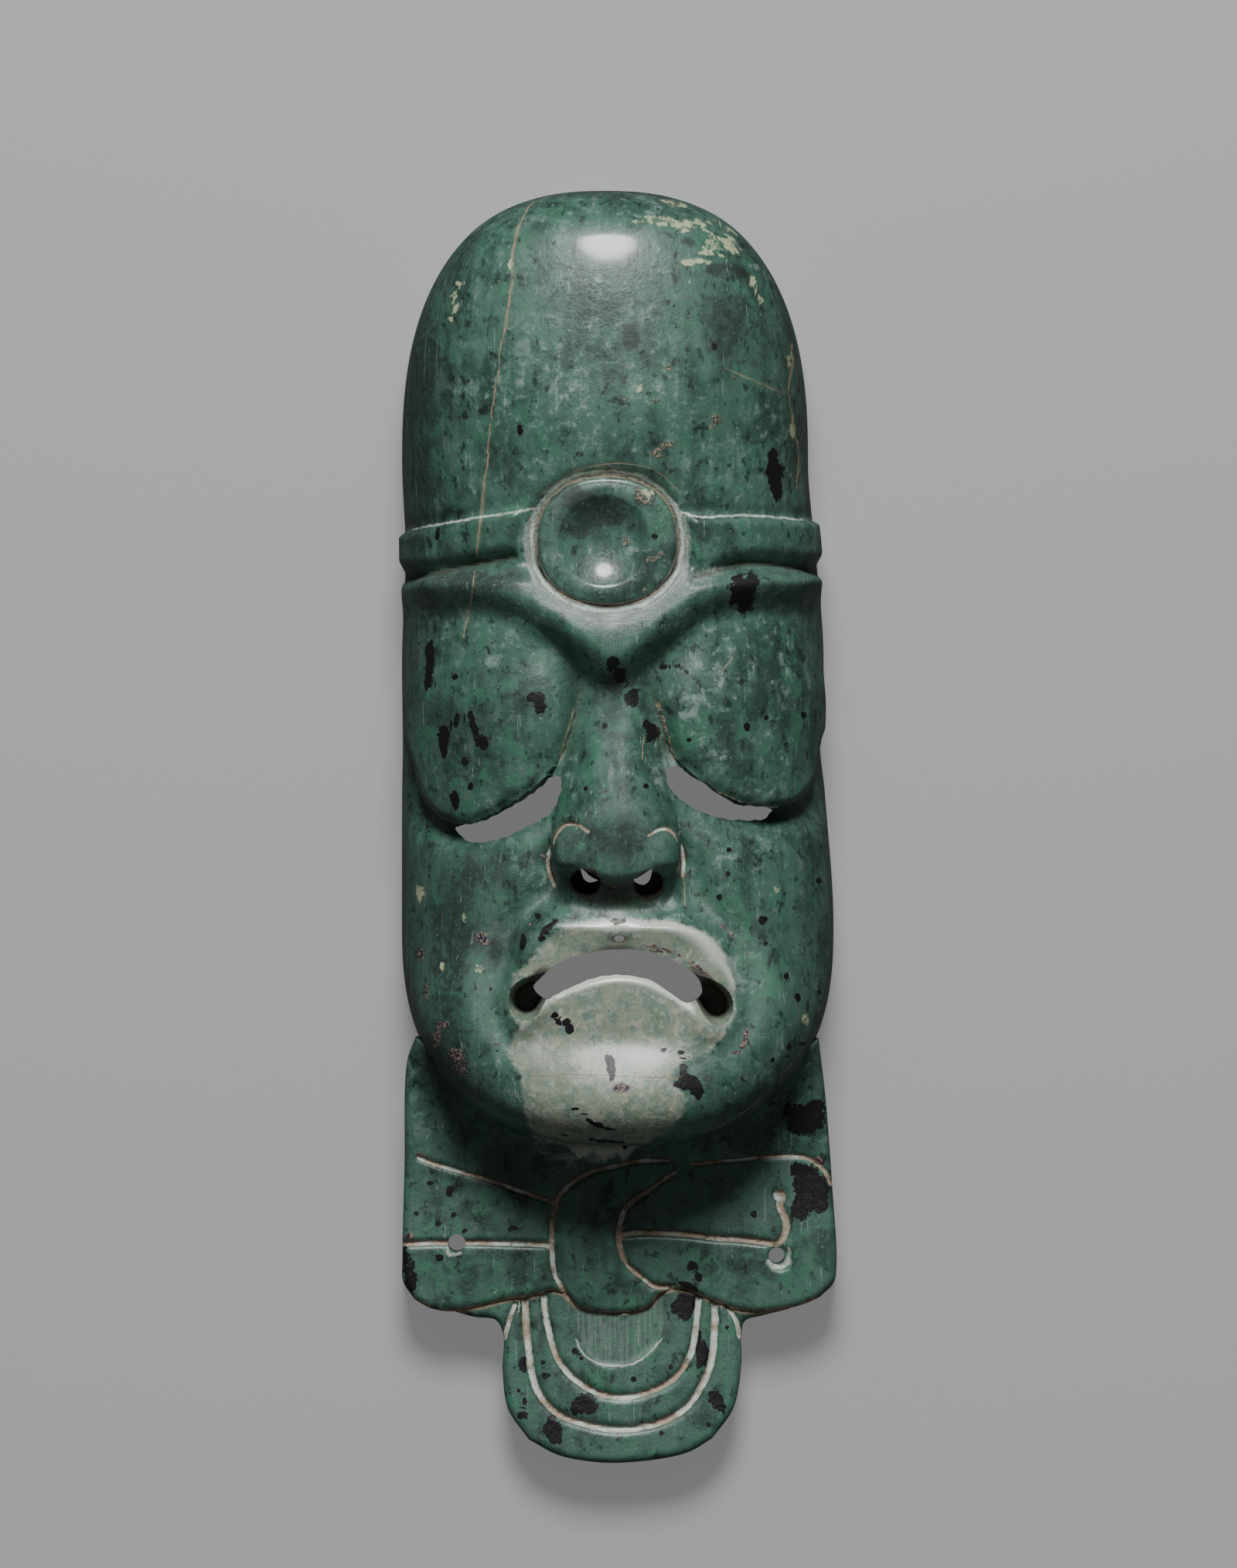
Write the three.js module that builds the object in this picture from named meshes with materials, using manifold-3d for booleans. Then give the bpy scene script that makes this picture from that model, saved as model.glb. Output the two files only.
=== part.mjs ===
// A carved jade mask lying on its back, in millimetres: a hollow, deep head over a flat knotted collar
// with a hanging lobe, all one stone. +Z is the way the face looks, +Y the crown and +X its left cheek.
import * as THREE from 'three';
import { mergeVertices } from 'three/addons/utils/BufferGeometryUtils.js';
import Module from 'manifold-3d';

// The head: where its straight sides end above and below, and how far crown and jaw reach past them.
const CROWN_START = 52;
const CROWN_REACH = 38;
const JAW_START = -14;
const JAW_REACH = 30.3;
const CORNER = 2.5; // how square the crown and the jaw are in front view: 2 would be an ellipse
const HEAD_CENTRE = [[-14, 0], [5, -0.6], [12, -0.9], [25, -0.7], [39, -1], [52, -1.8]];
const HEAD_HALF = [[-14, 30.6], [5, 30], [12, 29.6], [25, 29.9], [39, 29.1], [52, 28.8]];
const HEAD_DEPTH = [[-44, 32.5], [-14, 31], [0, 30.5], [15, 31.5], [30, 33.8], [45, 35.5], [60, 36.5]];
const SIDE_FULLNESS = [2.3, 3]; // exponents of the arch across the head,
const CROWN_FULLNESS = [3.6, 5]; // of the squarer one over the crown
const CHIN_FULLNESS = [6, 4]; // and of the fullest one, under the chin

// The hollow behind the face, as insets from the head, with its floor below the rim for a clean cut.
const WALL = 6.5;
const FACE_WALL = 8.5;
const CUT = 1;

// The headband, the brow's lower edge and the nose, as heights up the face or rises off the head.
const BAND_TOP = [[-31, 41.6], [-12, 44.8], [9, 43.8], [29, 43.2]];
const BAND_FOOT = [[-31, 36], [-12, 39], [9, 36], [19, 38], [29, 37]];
const BAND_RISE = 0.9;
const BROW_EDGE = [[-31, 31], [-26, 31.9], [-20.4, 32], [-15, 31.2], [-10.9, 29.3], [-6.3, 25.7],
  [-3.6, 22.6], [-1.6, 20.6], [0.6, 21.8], [3.1, 24], [6, 26.8], [9.3, 29.5], [12.6, 31.2], [17.6, 32.3],
  [23, 32.8], [29, 32.8]];
const BROW_RISE = 2.6;
const NOSE_RISE = [[-13.5, 7.2], [-6, 8.4], [-4, 8.3], [-1, 7.3], [4, 5.2], [8, 3.6], [14, 1.6], [20, 0.2],
  [25, 0]];
const NOSE_HALF = [[-13, 6.5], [-9, 7.8], [-6, 8.9], [-4, 9.3], [2, 8.6], [6, 8], [12, 6.6], [18, 5],
  [24, 3.5]];
const NOSE_LINE = -0.4;
const NOSE_FOOT = -7.2;
const WINGS = [[-6.6, -3.7], [6.4, -4.1]];
const WING_HALF = [3, 4.1];

// The disc on the brow: a superellipse's centre, half sizes and exponent, and its rings from the middle of
// the dish over the rim, as [share of the outline, height over the dish].
const DISC = { centre: [-1.5, 40.4], half: [9.9, 9.1], corner: 2.25 };
const COVE = { centre: [-1.9, 39.3], half: [12.2, 11.2], corner: 2.5 };
const DISC_RINGS = [[0.2, 0.15], [0.4, 0.6], [0.58, 1.3], [0.68, 1.75], [0.76, 1.95], [0.86, 1.8], [0.94, 1.2],
  [1, 0], [0.98, -6]];
const DISC_FLOOR = 34.3;
const DISC_LEAN = 0.06; // rise of the disc for each millimetre up the face

// Outlines on the face, each a smooth closed curve through its points.
const LEFT_PLATE = [[-34, 30], [-26, 31.5], [-19, 31.4], [-13.5, 29.4], [-9.3, 25.6], [-6.6, 20.8], [-6.4, 16],
  [-8.2, 10.4], [-10.6, 6.6], [-16, 2.6], [-21, 0.3], [-24.8, 1.2], [-27.5, 4.2], [-28.9, 10], [-34, 18]];
const RIGHT_PLATE = [[34, 31], [23, 31.8], [16.6, 31.2], [12.4, 29.4], [8.4, 26], [5.6, 20.6], [6.2, 16],
  [8.2, 10], [10.6, 7.5], [15, 4.2], [20.8, 2.7], [25, 3.5], [27.6, 6.6], [28.3, 12], [34, 19]];
const LEFT_SLIT = [[-9.1, 7.3], [-8, 7], [-8, 5.2], [-9.3, 2.3], [-12.1, 0.5], [-17.1, -1.7], [-21.2, -1.9],
  [-22.9, 0], [-19.2, 0.9], [-15, 3], [-11.3, 5.4]];
const RIGHT_SLIT = [[6.8, 8.2], [8, 8.8], [10.1, 7.5], [13.3, 5.4], [16.6, 3.4], [21.8, 2.6], [20.7, 1.3],
  [16.3, 1.1], [12.6, 1.9], [8.9, 3.8], [7.2, 6]];
const MOUTH = [[-11.9, -22.6], [-10.6, -20.9], [-7.8, -18.7], [-0.6, -17.1], [6.1, -17.9], [10.9, -20.7],
  [11.9, -23.2], [9.8, -24.6], [4.7, -21.5], [0, -20.7], [-3.6, -21.2], [-8.4, -23.3], [-10.1, -24.1]];
const LIP_RIM = [[-9.5, -14.9], [-12.6, -18.4], [-15.2, -22.6], [-15.2, -26.6], [-13.5, -28], [-11.3, -26.4],
  [-8.4, -23.5], [-3.6, -21.4], [1, -20.8], [4.7, -21.7], [9.8, -24.9], [12.3, -28.2], [15.2, -28.4],
  [17, -24.6], [15.9, -19.8], [13.1, -15.3], [10.6, -14], [0, -14.4]];
const MUZZLE = [[-9, -2.5], [-11.5, -7.5], [-16.4, -14], [-18.2, -20], [-18.3, -28], [-12, -37], [12, -37],
  [17.6, -30], [18.8, -24], [17.6, -17.6], [13.6, -10.2], [9, -3]];
const LIP_RISE = [[-29, 1.2], [-24, 1.6], [-21, 1.9], [-16, 2.8], [-13, 3]];
const CORNER_PITS = [[-12.4, -24.1, 2.6], [13.7, -24.8, 2.5]];
const PIT_DEPTH = 5;
const NOSTRILS = [[-4.2, -6.6], [4, -6.9]];
const NOSTRIL_HALF = [1.2, 1];
const NOSTRIL_PIT = [2.2, 1.9, 4];

// The collar and the lobe: corners of their outlines, run through in order, and their thickness up the mask.
const COLLAR = {
  left: [[-28.6, -68], [-30.4, -63.6], [-30.1, -58.6], [-30.2, -48], [-29.8, -33], [-28.6, -29.6]],
  right: [[29, -66.2], [31, -61.8], [30.7, -58.4], [29.9, -48], [29, -34], [28.4, -29.8]],
  foot: [[-28.6, -68], [-24.5, -69.2], [-17, -69.9], [0, -70], [18.2, -69.9], [24.2, -67.8], [29, -66.2]],
  head: [[-28.6, -29.6], [0, -26], [28.4, -29.8]],
};
const LOBE = {
  left: [[-12.6, -86.8], [-15.4, -82.4], [-16, -77], [-16.2, -62]],
  right: [[13.6, -86.6], [16.5, -82], [17.4, -76], [17.6, -62]],
  foot: [[-12.6, -86.8], [-7.6, -88.9], [0, -90], [8.4, -88.8], [13.6, -86.6]],
  head: [[-16.2, -62], [17.6, -62]],
};
const COLLAR_DEPTH = [[-69, 9.6], [-60, 10.2], [-48, 10.6], [-40, 12.2], [-30, 14]];
const LOBE_DEPTH = 8.6;
const EDGE_ROUND = 1.6;

// Incised lines of the collar, the knot and the lobe, with the radius of the tool that cut them.
const LINE_RADIUS = 0.6;
const LINES = {
  upperLeft: [[-27.8, -46.4], [-18.1, -49.6], [-8.8, -53]],
  middleLeft: [[-31, -58.7], [-9.6, -58.8]],
  lowerLeft: [[-26.2, -69.2], [-15.6, -66.8], [-9.2, -65.7]],
  knotRound: [[6.9, -47], [0.8, -47.2], [-5.9, -49.6], [-9.2, -54.6], [-9.2, -61.6], [-6, -67.2], [0, -68.6],
    [5.5, -67.3], [6.9, -65.4]],
  knotHeart: [[7.6, -48.9], [1.8, -52.8], [-0.2, -57.4], [1.2, -62], [6, -65.2]],
  upperRight: [[10.4, -47.6], [20.2, -46.6], [26.8, -46.7], [30.6, -50.4]],
  middleRight: [[0.2, -57.4], [12, -57.4], [22.4, -58.5]],
  hook: [[22.8, -51.8], [23.2, -54.2], [24.3, -56.2], [22.4, -60.2]],
  lowerRight: [[6.3, -64.6], [11.6, -66.4], [17.2, -68.2]],
  lobeOuter: [[-12.6, -66.6], [-12.3, -75.4], [-9.4, -81.9], [-0.2, -85.4], [9.2, -83.2], [13.2, -76.8],
    [13.6, -67.4]],
  lobeMiddle: [[-10.1, -66.4], [-9, -74.2], [-4.2, -79.3], [2.4, -80.6], [8.6, -77.8], [11.2, -71.6],
    [11.7, -66.8]],
  lobeInner: [[-6.6, -67], [-4.6, -74.6], [0, -76.3], [4.8, -74.4], [7.1, -70], [6.9, -65.4]],
};
const CORD_HOLES = [[-22.8, -58.8, 1.25], [22.5, -60.6, 1.15]];

// How finely the head is cut: columns from the middle to a side, and rows as stretches of [from, to, rows],
// in shares of the way over the jaw and the crown, and in heights up the face between them.
const HALF_COLUMNS = 17;
const JAW_STRETCHES = [[-1, -0.36, 8], [-0.36, 0, 9]];
const FACE_STRETCHES = [[JAW_START, -4, 7], [-4, 12, 9], [12, 28, 7], [28, 46, 12], [46, CROWN_START, 3]];
const CROWN_STRETCHES = [[0, 1, 12]];

const wasm = await Module();
wasm.setup();

const clamp = (t) => Math.min(1, Math.max(0, t));
const ease = (t) => clamp(t) ** 2 * (3 - 2 * clamp(t));
const hill = (t) => Math.exp(-t * t);

// A smooth curve through a table of [position, value], level at both ends.
function through(table, at) {
  const last = table.length - 1;
  if (at <= table[0][0]) return table[0][1];
  if (at >= table[last][0]) return table[last][1];
  const i = table.findIndex((row, k) => k < last && at <= table[k + 1][0]);
  const slope = (k) => (k === 0 || k === last ? 0
    : (table[k + 1][1] - table[k - 1][1]) / (table[k + 1][0] - table[k - 1][0]));
  const width = table[i + 1][0] - table[i][0];
  const t = (at - table[i][0]) / width;
  const bend = width * t * (1 - t) * ((1 - t) * slope(i) - t * slope(i + 1));
  return table[i][1] + (table[i + 1][1] - table[i][1]) * ease(t) + bend;
}

// A smooth run of points through the corners of an open line or a closed outline.
function smoothRun(corners, closed, steps = 4) {
  const curve = new THREE.CatmullRomCurve3(corners.map(([x, y]) => new THREE.Vector3(x, y, 0)), closed);
  const points = curve.getPoints(steps * corners.length).map((p) => [p.x, p.y]);
  return closed ? points.slice(0, -1) : points;
}

// The distance from a point to a run of points, open or closed.
function distanceTo(run, x, y, closed) {
  let nearest = Infinity;
  run.forEach(([ax, ay], i) => {
    if (!closed && i === run.length - 1) return;
    const [bx, by] = run[(i + 1) % run.length];
    const [dx, dy] = [bx - ax, by - ay];
    const t = clamp(((x - ax) * dx + (y - ay) * dy) / (dx * dx + dy * dy));
    nearest = Math.min(nearest, Math.hypot(x - ax - t * dx, y - ay - t * dy));
  });
  return nearest;
}

// How far a point is inside a closed outline, or outside it as a negative number.
function depthInside(loop, x, y) {
  let inside = false;
  loop.forEach(([ax, ay], i) => {
    const [bx, by] = loop[(i + 1) % loop.length];
    if (ay > y !== by > y && x < ax + ((bx - ax) * (y - ay)) / (by - ay)) inside = !inside;
  });
  return distanceTo(loop, x, y, true) * (inside ? 1 : -1);
}

// Share of the way out to a superellipse: 1 on its outline.
function shareOut({ centre, half, corner }, x, y) {
  return (Math.abs((x - centre[0]) / half[0]) ** corner
    + Math.abs((y - centre[1]) / half[1]) ** corner) ** (1 / corner);
}

const outlines = Object.fromEntries(Object.entries({
  leftPlate: LEFT_PLATE, rightPlate: RIGHT_PLATE, lipRim: LIP_RIM, muzzle: MUZZLE,
}).map(([name, corners]) => [name, smoothRun(corners, true)]));
const browRun = smoothRun(BROW_EDGE, false);
const browTip = browRun.findIndex(([, y]) => y === Math.min(...browRun.map((p) => p[1])));

// The headband stands proud between two lines, with a groove under its foot.
function bandRelief(x, y) {
  const [top, foot] = [through(BAND_TOP, x), through(BAND_FOOT, x)];
  const clear = ease((shareOut(COVE, x, y) - 0.97) * 10);
  const rise = BAND_RISE * (1 + 0.6 * ease((Math.abs(x) - 22) / 6));
  const band = rise * ease((y - foot) / 2.4 + 0.2) * ease((top - y) / 0.7 + 0.5);
  const groove = 1.1 * hill((y - foot + 0.7) / 0.9) + 0.3 * hill(y - top - 1);
  return (band - groove) * clear;
}

// The cove round the disc is deeper above it than below.
function coveRelief(x, y) {
  const low = ease((40 - y) / 8);
  return -(1.9 - 0.9 * low) * hill((shareOut(DISC, x, y) - 1) / (0.13 + 0.15 * low));
}

// The brow swells above its edge, and its two arms blend where they meet in a point.
function browRelief(x, y) {
  const side = Math.sign(y - through(BROW_EDGE, x));
  const arms = [browRun.slice(0, browTip + 1), browRun.slice(browTip)]
    .map((arm) => distanceTo(arm, x, y, false));
  const [near, far] = [Math.min(...arms), Math.max(...arms)];
  const above = near * side - 0.9 * Math.exp((near - far) / 1.8);
  const crest = ease((above + 2.6) / 4.8) * (1 - 0.8 * ease((above - 2) / 4));
  return BROW_RISE * crest * (1 - ease((y - 34.5) / 3)) * (1 - 0.7 * ease((Math.abs(x) - 24) / 5));
}

// An eye plate bulges inside its outline, and a trough runs round its lower end.
function plateRelief(x, y) {
  const into = depthInside(x < 0 ? outlines.leftPlate : outlines.rightPlate, x, y);
  const bulge = 1 - ((x - (x < 0 ? -18.5 : 17.6)) / 14) ** 2 - ((y - 15) / 16) ** 2;
  const plate = 0.8 * ease(into / 0.9) * ease((25 - y) / 8) + 1.6 * clamp(bulge);
  const trough = -3.2 * hill(into / 2.9) * ease((14 - y) / 6) * ease((Math.abs(x) - 8) / 4);
  return (into > 0 ? plate : trough) * ease((31 - Math.abs(x)) / 3);
}

// The nose widens down to its wings and is cut back under them; each wing has a crease round its top.
function noseRelief(x, y) {
  const share = Math.abs(x - NOSE_LINE) / through(NOSE_HALF, y);
  const broad = ease((9 - y) / 12);
  const front = through(NOSE_RISE, y) * clamp(1 - share ** (1.55 + 0.85 * broad)) ** (1.1 - 0.5 * broad);
  const below = NOSE_FOOT + 1.5 * ease((Math.abs(x) - 1.6) / 3) - y;
  const ridge = front * (1 - 0.35 * ease(below / 0.8)) * (1 - ease(below / 5.6));
  const wings = WINGS.map(([wx, wy]) => {
    const out = Math.hypot((x - wx) / WING_HALF[0], (y - wy) / WING_HALF[1]);
    const swell = 1.3 * ease((1 - out) / 0.16) * ease((Math.abs(x) - 3.2) / 3.4) * ease(y + 6.2);
    return swell - 0.7 * hill((out - 1.08) / 0.12) * ease((Math.abs(x) - 4.2) / 1.5) * ease((y + 6.5) / 3);
  });
  return ridge + wings[0] + wings[1] - 1.3 * hill((y + 11.2) / 1.9) * hill(x / 7);
}

// The lips rise to a rim and fall back to the opening; below them lie a hollow and the round of the chin.
function mouthRelief(x, y) {
  const into = depthInside(outlines.lipRim, x, y);
  const lower = ease((-21 - y) / 2) * ease((11.5 - Math.abs(x - 0.6)) / 3.5);
  const rise = through(LIP_RISE, y) * (1 - 0.6 * lower);
  const width = 1.8 + 1.6 * ease((y + 20) / 5);
  const lips = into < 0 ? rise * hill(into / width) : rise - (rise + 0.8) * ease(into / 4.4) ** 0.8;
  const chin = 2.2 * hill((x - 1) / 12) * hill((y + 38.5) / 5.2);
  return lips + chin - 0.5 * hill(x / 9) * hill((y + 27.5) / 3);
}

// Folds from the nose to the corners of the mouth: a valley inside, the cheek's edge outside.
function cheekRelief(x, y) {
  const into = depthInside(outlines.muzzle, x, y);
  const fade = ease((y + 33) / 5) * ease((2 - y) / 5) * ease((Math.abs(x) - 7.5) / 2);
  const valley = -1.2 * hill(into / (x < 0 ? 3.4 : 4.2));
  const cheek = 1.5 * hill(into / 8) * ease(-into / 2) - 1.2 * hill(into / 1.6);
  return (into > 0 ? valley : cheek) * fade + 0.8 * hill((Math.abs(x) - 22) / 6) * hill((y + 13) / 9);
}

// Height of the carving off the plain head, at a place on the face.
const relief = (x, y) => bandRelief(x, y) + coveRelief(x, y) + browRelief(x, y) + plateRelief(x, y)
  + noseRelief(x, y) + mouthRelief(x, y) + cheekRelief(x, y);

// Share of the half width at a column: even over the front, then closing up down the steep side.
function spread(t) {
  const [front, turn] = [0.85, 0.654];
  return t < turn ? (t * front) / turn : 1 - (1 - front) * ((1 - t) / (1 - turn)) ** 3;
}

const stations = (stretches) => stretches.flatMap(([from, to, count]) => (
  Array.from({ length: count }, (_, i) => from + ((to - from) * i) / count)));

// Rows of the head's grid: each starts from a height, and lies a share of the way over the jaw or the crown.
function gridRows(jaw, face, crown) {
  return [
    ...stations(jaw).map((over) => ({ from: JAW_START, over })),
    ...stations(face).map((from) => ({ from, over: 0 })),
    ...[...stations(crown), 1].map((over) => ({ from: CROWN_START, over })),
  ];
}

// A point of the plain head, drawn in by an inset: columns run -1 to 1 across, and a square of the grid's
// crown or jaw is mapped to half a disc, so that the rows close without a pole.
function plainPoint(across, row, inset, drop, floor) {
  const squareX = across * Math.sqrt(1 - row.over ** 2 / 2);
  const squareY = row.over * Math.sqrt(1 - across ** 2 / 2);
  const out = Math.hypot(squareX, squareY);
  const [dirX, dirY] = out > 0 ? [squareX / out, squareY / out] : [0, 0];
  const corner = out > 0 ? (Math.abs(dirX) ** CORNER + Math.abs(dirY) ** CORNER) ** (-1 / CORNER) : 1;
  const share = spread(out);
  const reach = (row.over < 0 ? JAW_REACH : CROWN_REACH) - inset;
  const y = row.from + dirY * corner * share * reach;
  const x = through(HEAD_CENTRE, y) + dirX * corner * share * (through(HEAD_HALF, y) - inset);
  const end = row.over < 0 ? CHIN_FULLNESS : CROWN_FULLNESS;
  const [flat, round] = SIDE_FULLNESS.map((side, k) => side + (end[k] - side) * (row.over ? dirY ** 2 : 0));
  const arch = clamp(1 - share ** flat) ** (1 / round);
  return new THREE.Vector3(x, y, floor + (through(HEAD_DEPTH, y) - drop - floor) * arch);
}

// A closed body from a grid of points: the grid is its front, and flat strips from its left border to its
// right one close the back.
function closedGrid(grid) {
  const [lastRow, lastColumn] = [grid.length - 1, grid[0].length - 1];
  const points = grid.flat();
  const at = (r, c) => r * (lastColumn + 1) + c;
  const index = [];
  for (let r = 0; r < lastRow; r += 1) {
    for (let c = 0; c < lastColumn; c += 1) {
      const [a, b, d, e] = [at(r, c), at(r, c + 1), at(r + 1, c + 1), at(r + 1, c)];
      const crossed = points[a].distanceTo(points[d]) > points[b].distanceTo(points[e]);
      index.push(...(crossed ? [a, b, e, b, d, e] : [a, b, d, a, d, e]));
    }
    const [left, right, upRight, upLeft] = [at(r, 0), at(r, lastColumn), at(r + 1, lastColumn), at(r + 1, 0)];
    index.push(left, upLeft, upRight, left, upRight, right);
  }
  for (let c = 1; c < lastColumn; c += 1) {
    index.push(at(0, 0), at(0, c + 1), at(0, c));
    index.push(at(lastRow, 0), at(lastRow, c), at(lastRow, c + 1));
  }
  return new THREE.BufferGeometry().setFromPoints(points).setIndex(index);
}

// A closed three.js geometry as a solid that can be joined and cut.
function solid(geometry) {
  const bare = geometry.clone();
  ['normal', 'uv'].forEach((name) => bare.deleteAttribute(name));
  const merged = mergeVertices(bare, 1e-4);
  return new wasm.Manifold(new wasm.Mesh({
    numProp: 3,
    vertProperties: new Float32Array(merged.attributes.position.array),
    triVerts: new Uint32Array(merged.index.array),
  }));
}

const acrossColumns = (half) => Array.from({ length: 2 * half + 1 }, (_, i) => i / half - 1);

// The head with its face: the plain head pushed out along its own normals by the relief.
function head() {
  const step = 0.01;
  const rows = gridRows(JAW_STRETCHES, FACE_STRETCHES, CROWN_STRETCHES);
  return closedGrid(rows.map((row) => acrossColumns(HALF_COLUMNS).map((across) => {
    const plain = (a, r) => plainPoint(a, r, 0, 0, 0);
    const point = plain(across, row);
    const inwards = across > 0 ? -step : step;
    const sideways = plain(across + inwards, row).sub(point).multiplyScalar(Math.sign(inwards));
    const lift = row.over > 0.5 ? -step : step;
    const other = row.over === 0 ? { from: row.from + lift * 30, over: 0 } : { ...row, over: row.over + lift };
    const upwards = plain(across, other).sub(point).multiplyScalar(Math.sign(lift));
    const normal = sideways.cross(upwards).normalize();
    const rise = relief(point.x, point.y) * ease(point.z / 14);
    return point.addScaledVector(normal, rise);
  })));
}

function hollow() {
  const rows = gridRows([[-1, 0, 6]], [[JAW_START, CROWN_START, 9]], [[0, 1, 6]]);
  return closedGrid(rows.map((row) => acrossColumns(8).map((across) => (
    plainPoint(across, row, WALL, FACE_WALL, -CUT)))));
}

// A flat-backed slab whose front is a patch between four edge curves, rounded down towards its outline.
function slab(edges, depthAt, columns, rows) {
  const run = Object.fromEntries(Object.entries(edges).map(([name, corners]) => [name,
    new THREE.CatmullRomCurve3(corners.map(([x, y]) => new THREE.Vector3(x, y, 0)))]));
  const outline = [...run.foot.getSpacedPoints(24), ...run.right.getSpacedPoints(24).slice(1, -1),
    ...run.head.getSpacedPoints(12).reverse(), ...run.left.getSpacedPoints(24).reverse().slice(1, -1)]
    .map((p) => [p.x, p.y]);
  const bunch = (i, count) => {
    const t = i / count;
    return t + 0.11 * Math.sin(2 * Math.PI * t) * -1;
  };
  const grid = [];
  for (let r = 0; r <= rows; r += 1) {
    const line = [];
    for (let c = 0; c <= columns; c += 1) {
      const [u, v] = [bunch(c, columns), bunch(r, rows)];
      const [foot, top] = [run.foot.getPointAt(u), run.head.getPointAt(u)];
      const [left, right] = [run.left.getPointAt(v), run.right.getPointAt(v)];
      const mix = (p, q, t) => p.clone().lerp(q, t);
      const corners = mix(mix(run.foot.getPointAt(0), run.foot.getPointAt(1), u),
        mix(run.head.getPointAt(0), run.head.getPointAt(1), u), v);
      const point = mix(foot, top, v).add(mix(left, right, u)).sub(corners);
      const onEdge = r === 0 || c === 0 || r === rows || c === columns;
      const into = onEdge ? 0 : Math.max(0, depthInside(outline, point.x, point.y));
      const fall = clamp(1 - into / EDGE_ROUND);
      const z = depthAt(point.x, point.y) - EDGE_ROUND * (1 - Math.sqrt(1 - fall * fall));
      line.push(new THREE.Vector3(point.x, point.y, z));
    }
    grid.push(line);
  }
  return standing(grid);
}

// A closed body from a grid whose border stands on the plane z = 0 by an upright wall.
function standing(grid) {
  const foot = (p) => new THREE.Vector3(p.x, p.y, 0);
  const walled = grid.map((line) => [foot(line[0]), ...line, foot(line.at(-1))]);
  const first = walled[0].map(foot);
  const last = walled.at(-1).map(foot);
  return closedGrid([first, ...walled, last]);
}

// The disc: rings from the middle of the dish over the rim and down its side into the brow.
function disc() {
  const sides = 28;
  const [cx, cy] = DISC.centre;
  const height = (y, over) => DISC_FLOOR + over + DISC_LEAN * (y - cy);
  const points = [new THREE.Vector3(cx, cy, DISC_FLOOR)];
  const index = [];
  DISC_RINGS.forEach(([share, over], ring) => {
    for (let i = 0; i < sides; i += 1) {
      const angle = (2 * Math.PI * i) / sides;
      const [c, s] = [Math.cos(angle), Math.sin(angle)];
      const out = share * (Math.abs(c) ** DISC.corner + Math.abs(s) ** DISC.corner) ** (-1 / DISC.corner);
      const y = cy + out * s * DISC.half[1];
      points.push(new THREE.Vector3(cx + out * c * DISC.half[0], y, height(y, over)));
      const here = 1 + ring * sides + i;
      const next = 1 + ring * sides + ((i + 1) % sides);
      if (ring === 0) index.push(0, here, next);
      else index.push(here - sides, next, next - sides, here - sides, here, next);
    }
  });
  const last = points.length;
  points.push(new THREE.Vector3(cx, cy, DISC_FLOOR + DISC_RINGS.at(-1)[1]));
  for (let i = 0; i < sides; i += 1) {
    const here = last - sides;
    index.push(last, here + ((i + 1) % sides), here + i);
  }
  return new THREE.BufferGeometry().setFromPoints(points).setIndex(index);
}

// A straight-sided cutter through the whole mask, with a smooth outline.
function openingCutter(corners) {
  const shape = new THREE.Shape(smoothRun(corners, true, 2).map(([x, y]) => new THREE.Vector2(x, y)));
  return new THREE.ExtrudeGeometry(shape, { depth: 70, bevelEnabled: false }).translate(0, 0, -10);
}

function drill(x, y, radius, z = 0) {
  return new THREE.CylinderGeometry(radius, radius, 80, 12).rotateX(Math.PI / 2).translate(x, y, z);
}

// A tool that runs along an incised line at the height of the surface it cuts.
function incision(corners, heightAt) {
  const path = new THREE.CatmullRomCurve3(corners.map(([x, y]) => new THREE.Vector3(x, y, heightAt(x, y) + 0.05)));
  const section = new THREE.Shape(Array.from({ length: 4 }, (_, i) => new THREE.Vector2(
    LINE_RADIUS * Math.cos((i * Math.PI) / 2), LINE_RADIUS * Math.sin((i * Math.PI) / 2))));
  const steps = Math.max(2, Math.round(path.getLength() / 3));
  return new THREE.ExtrudeGeometry(section, { steps, extrudePath: path, bevelEnabled: false });
}

function carve() {
  const collarFront = (x, y) => through(COLLAR_DEPTH, y);
  let stone = solid(head()).add(solid(disc()));
  stone = stone.add(solid(slab(COLLAR, collarFront, 12, 9)));
  stone = stone.add(solid(slab(LOBE, () => LOBE_DEPTH, 12, 9)));
  stone = stone.subtract(solid(hollow()));
  [LEFT_SLIT, RIGHT_SLIT, MOUTH].forEach((corners) => {
    stone = stone.subtract(solid(openingCutter(corners)));
  });
  CORNER_PITS.forEach(([x, y, radius]) => {
    const pit = new THREE.SphereGeometry(1, 14, 8).scale(radius, radius, PIT_DEPTH).translate(x, y, 30);
    stone = stone.subtract(solid(pit));
  });
  NOSTRILS.forEach(([x, y]) => {
    const hole = drill(0, 0, 1).scale(NOSTRIL_HALF[0], NOSTRIL_HALF[1], 1).translate(x, y, 0);
    const pit = new THREE.SphereGeometry(1, 12, 8).scale(...NOSTRIL_PIT);
    stone = stone.subtract(solid(hole)).subtract(solid(pit.translate(x * 1.15, y - 1.2, 34.5)));
  });
  CORD_HOLES.forEach(([x, y, radius]) => {
    stone = stone.subtract(solid(drill(x, y, radius)));
  });
  Object.entries(LINES).forEach(([name, corners]) => {
    const surface = name.startsWith('lobe') ? () => LOBE_DEPTH : collarFront;
    stone = stone.subtract(solid(incision(corners, surface)));
  });
  return stone;
}

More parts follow.
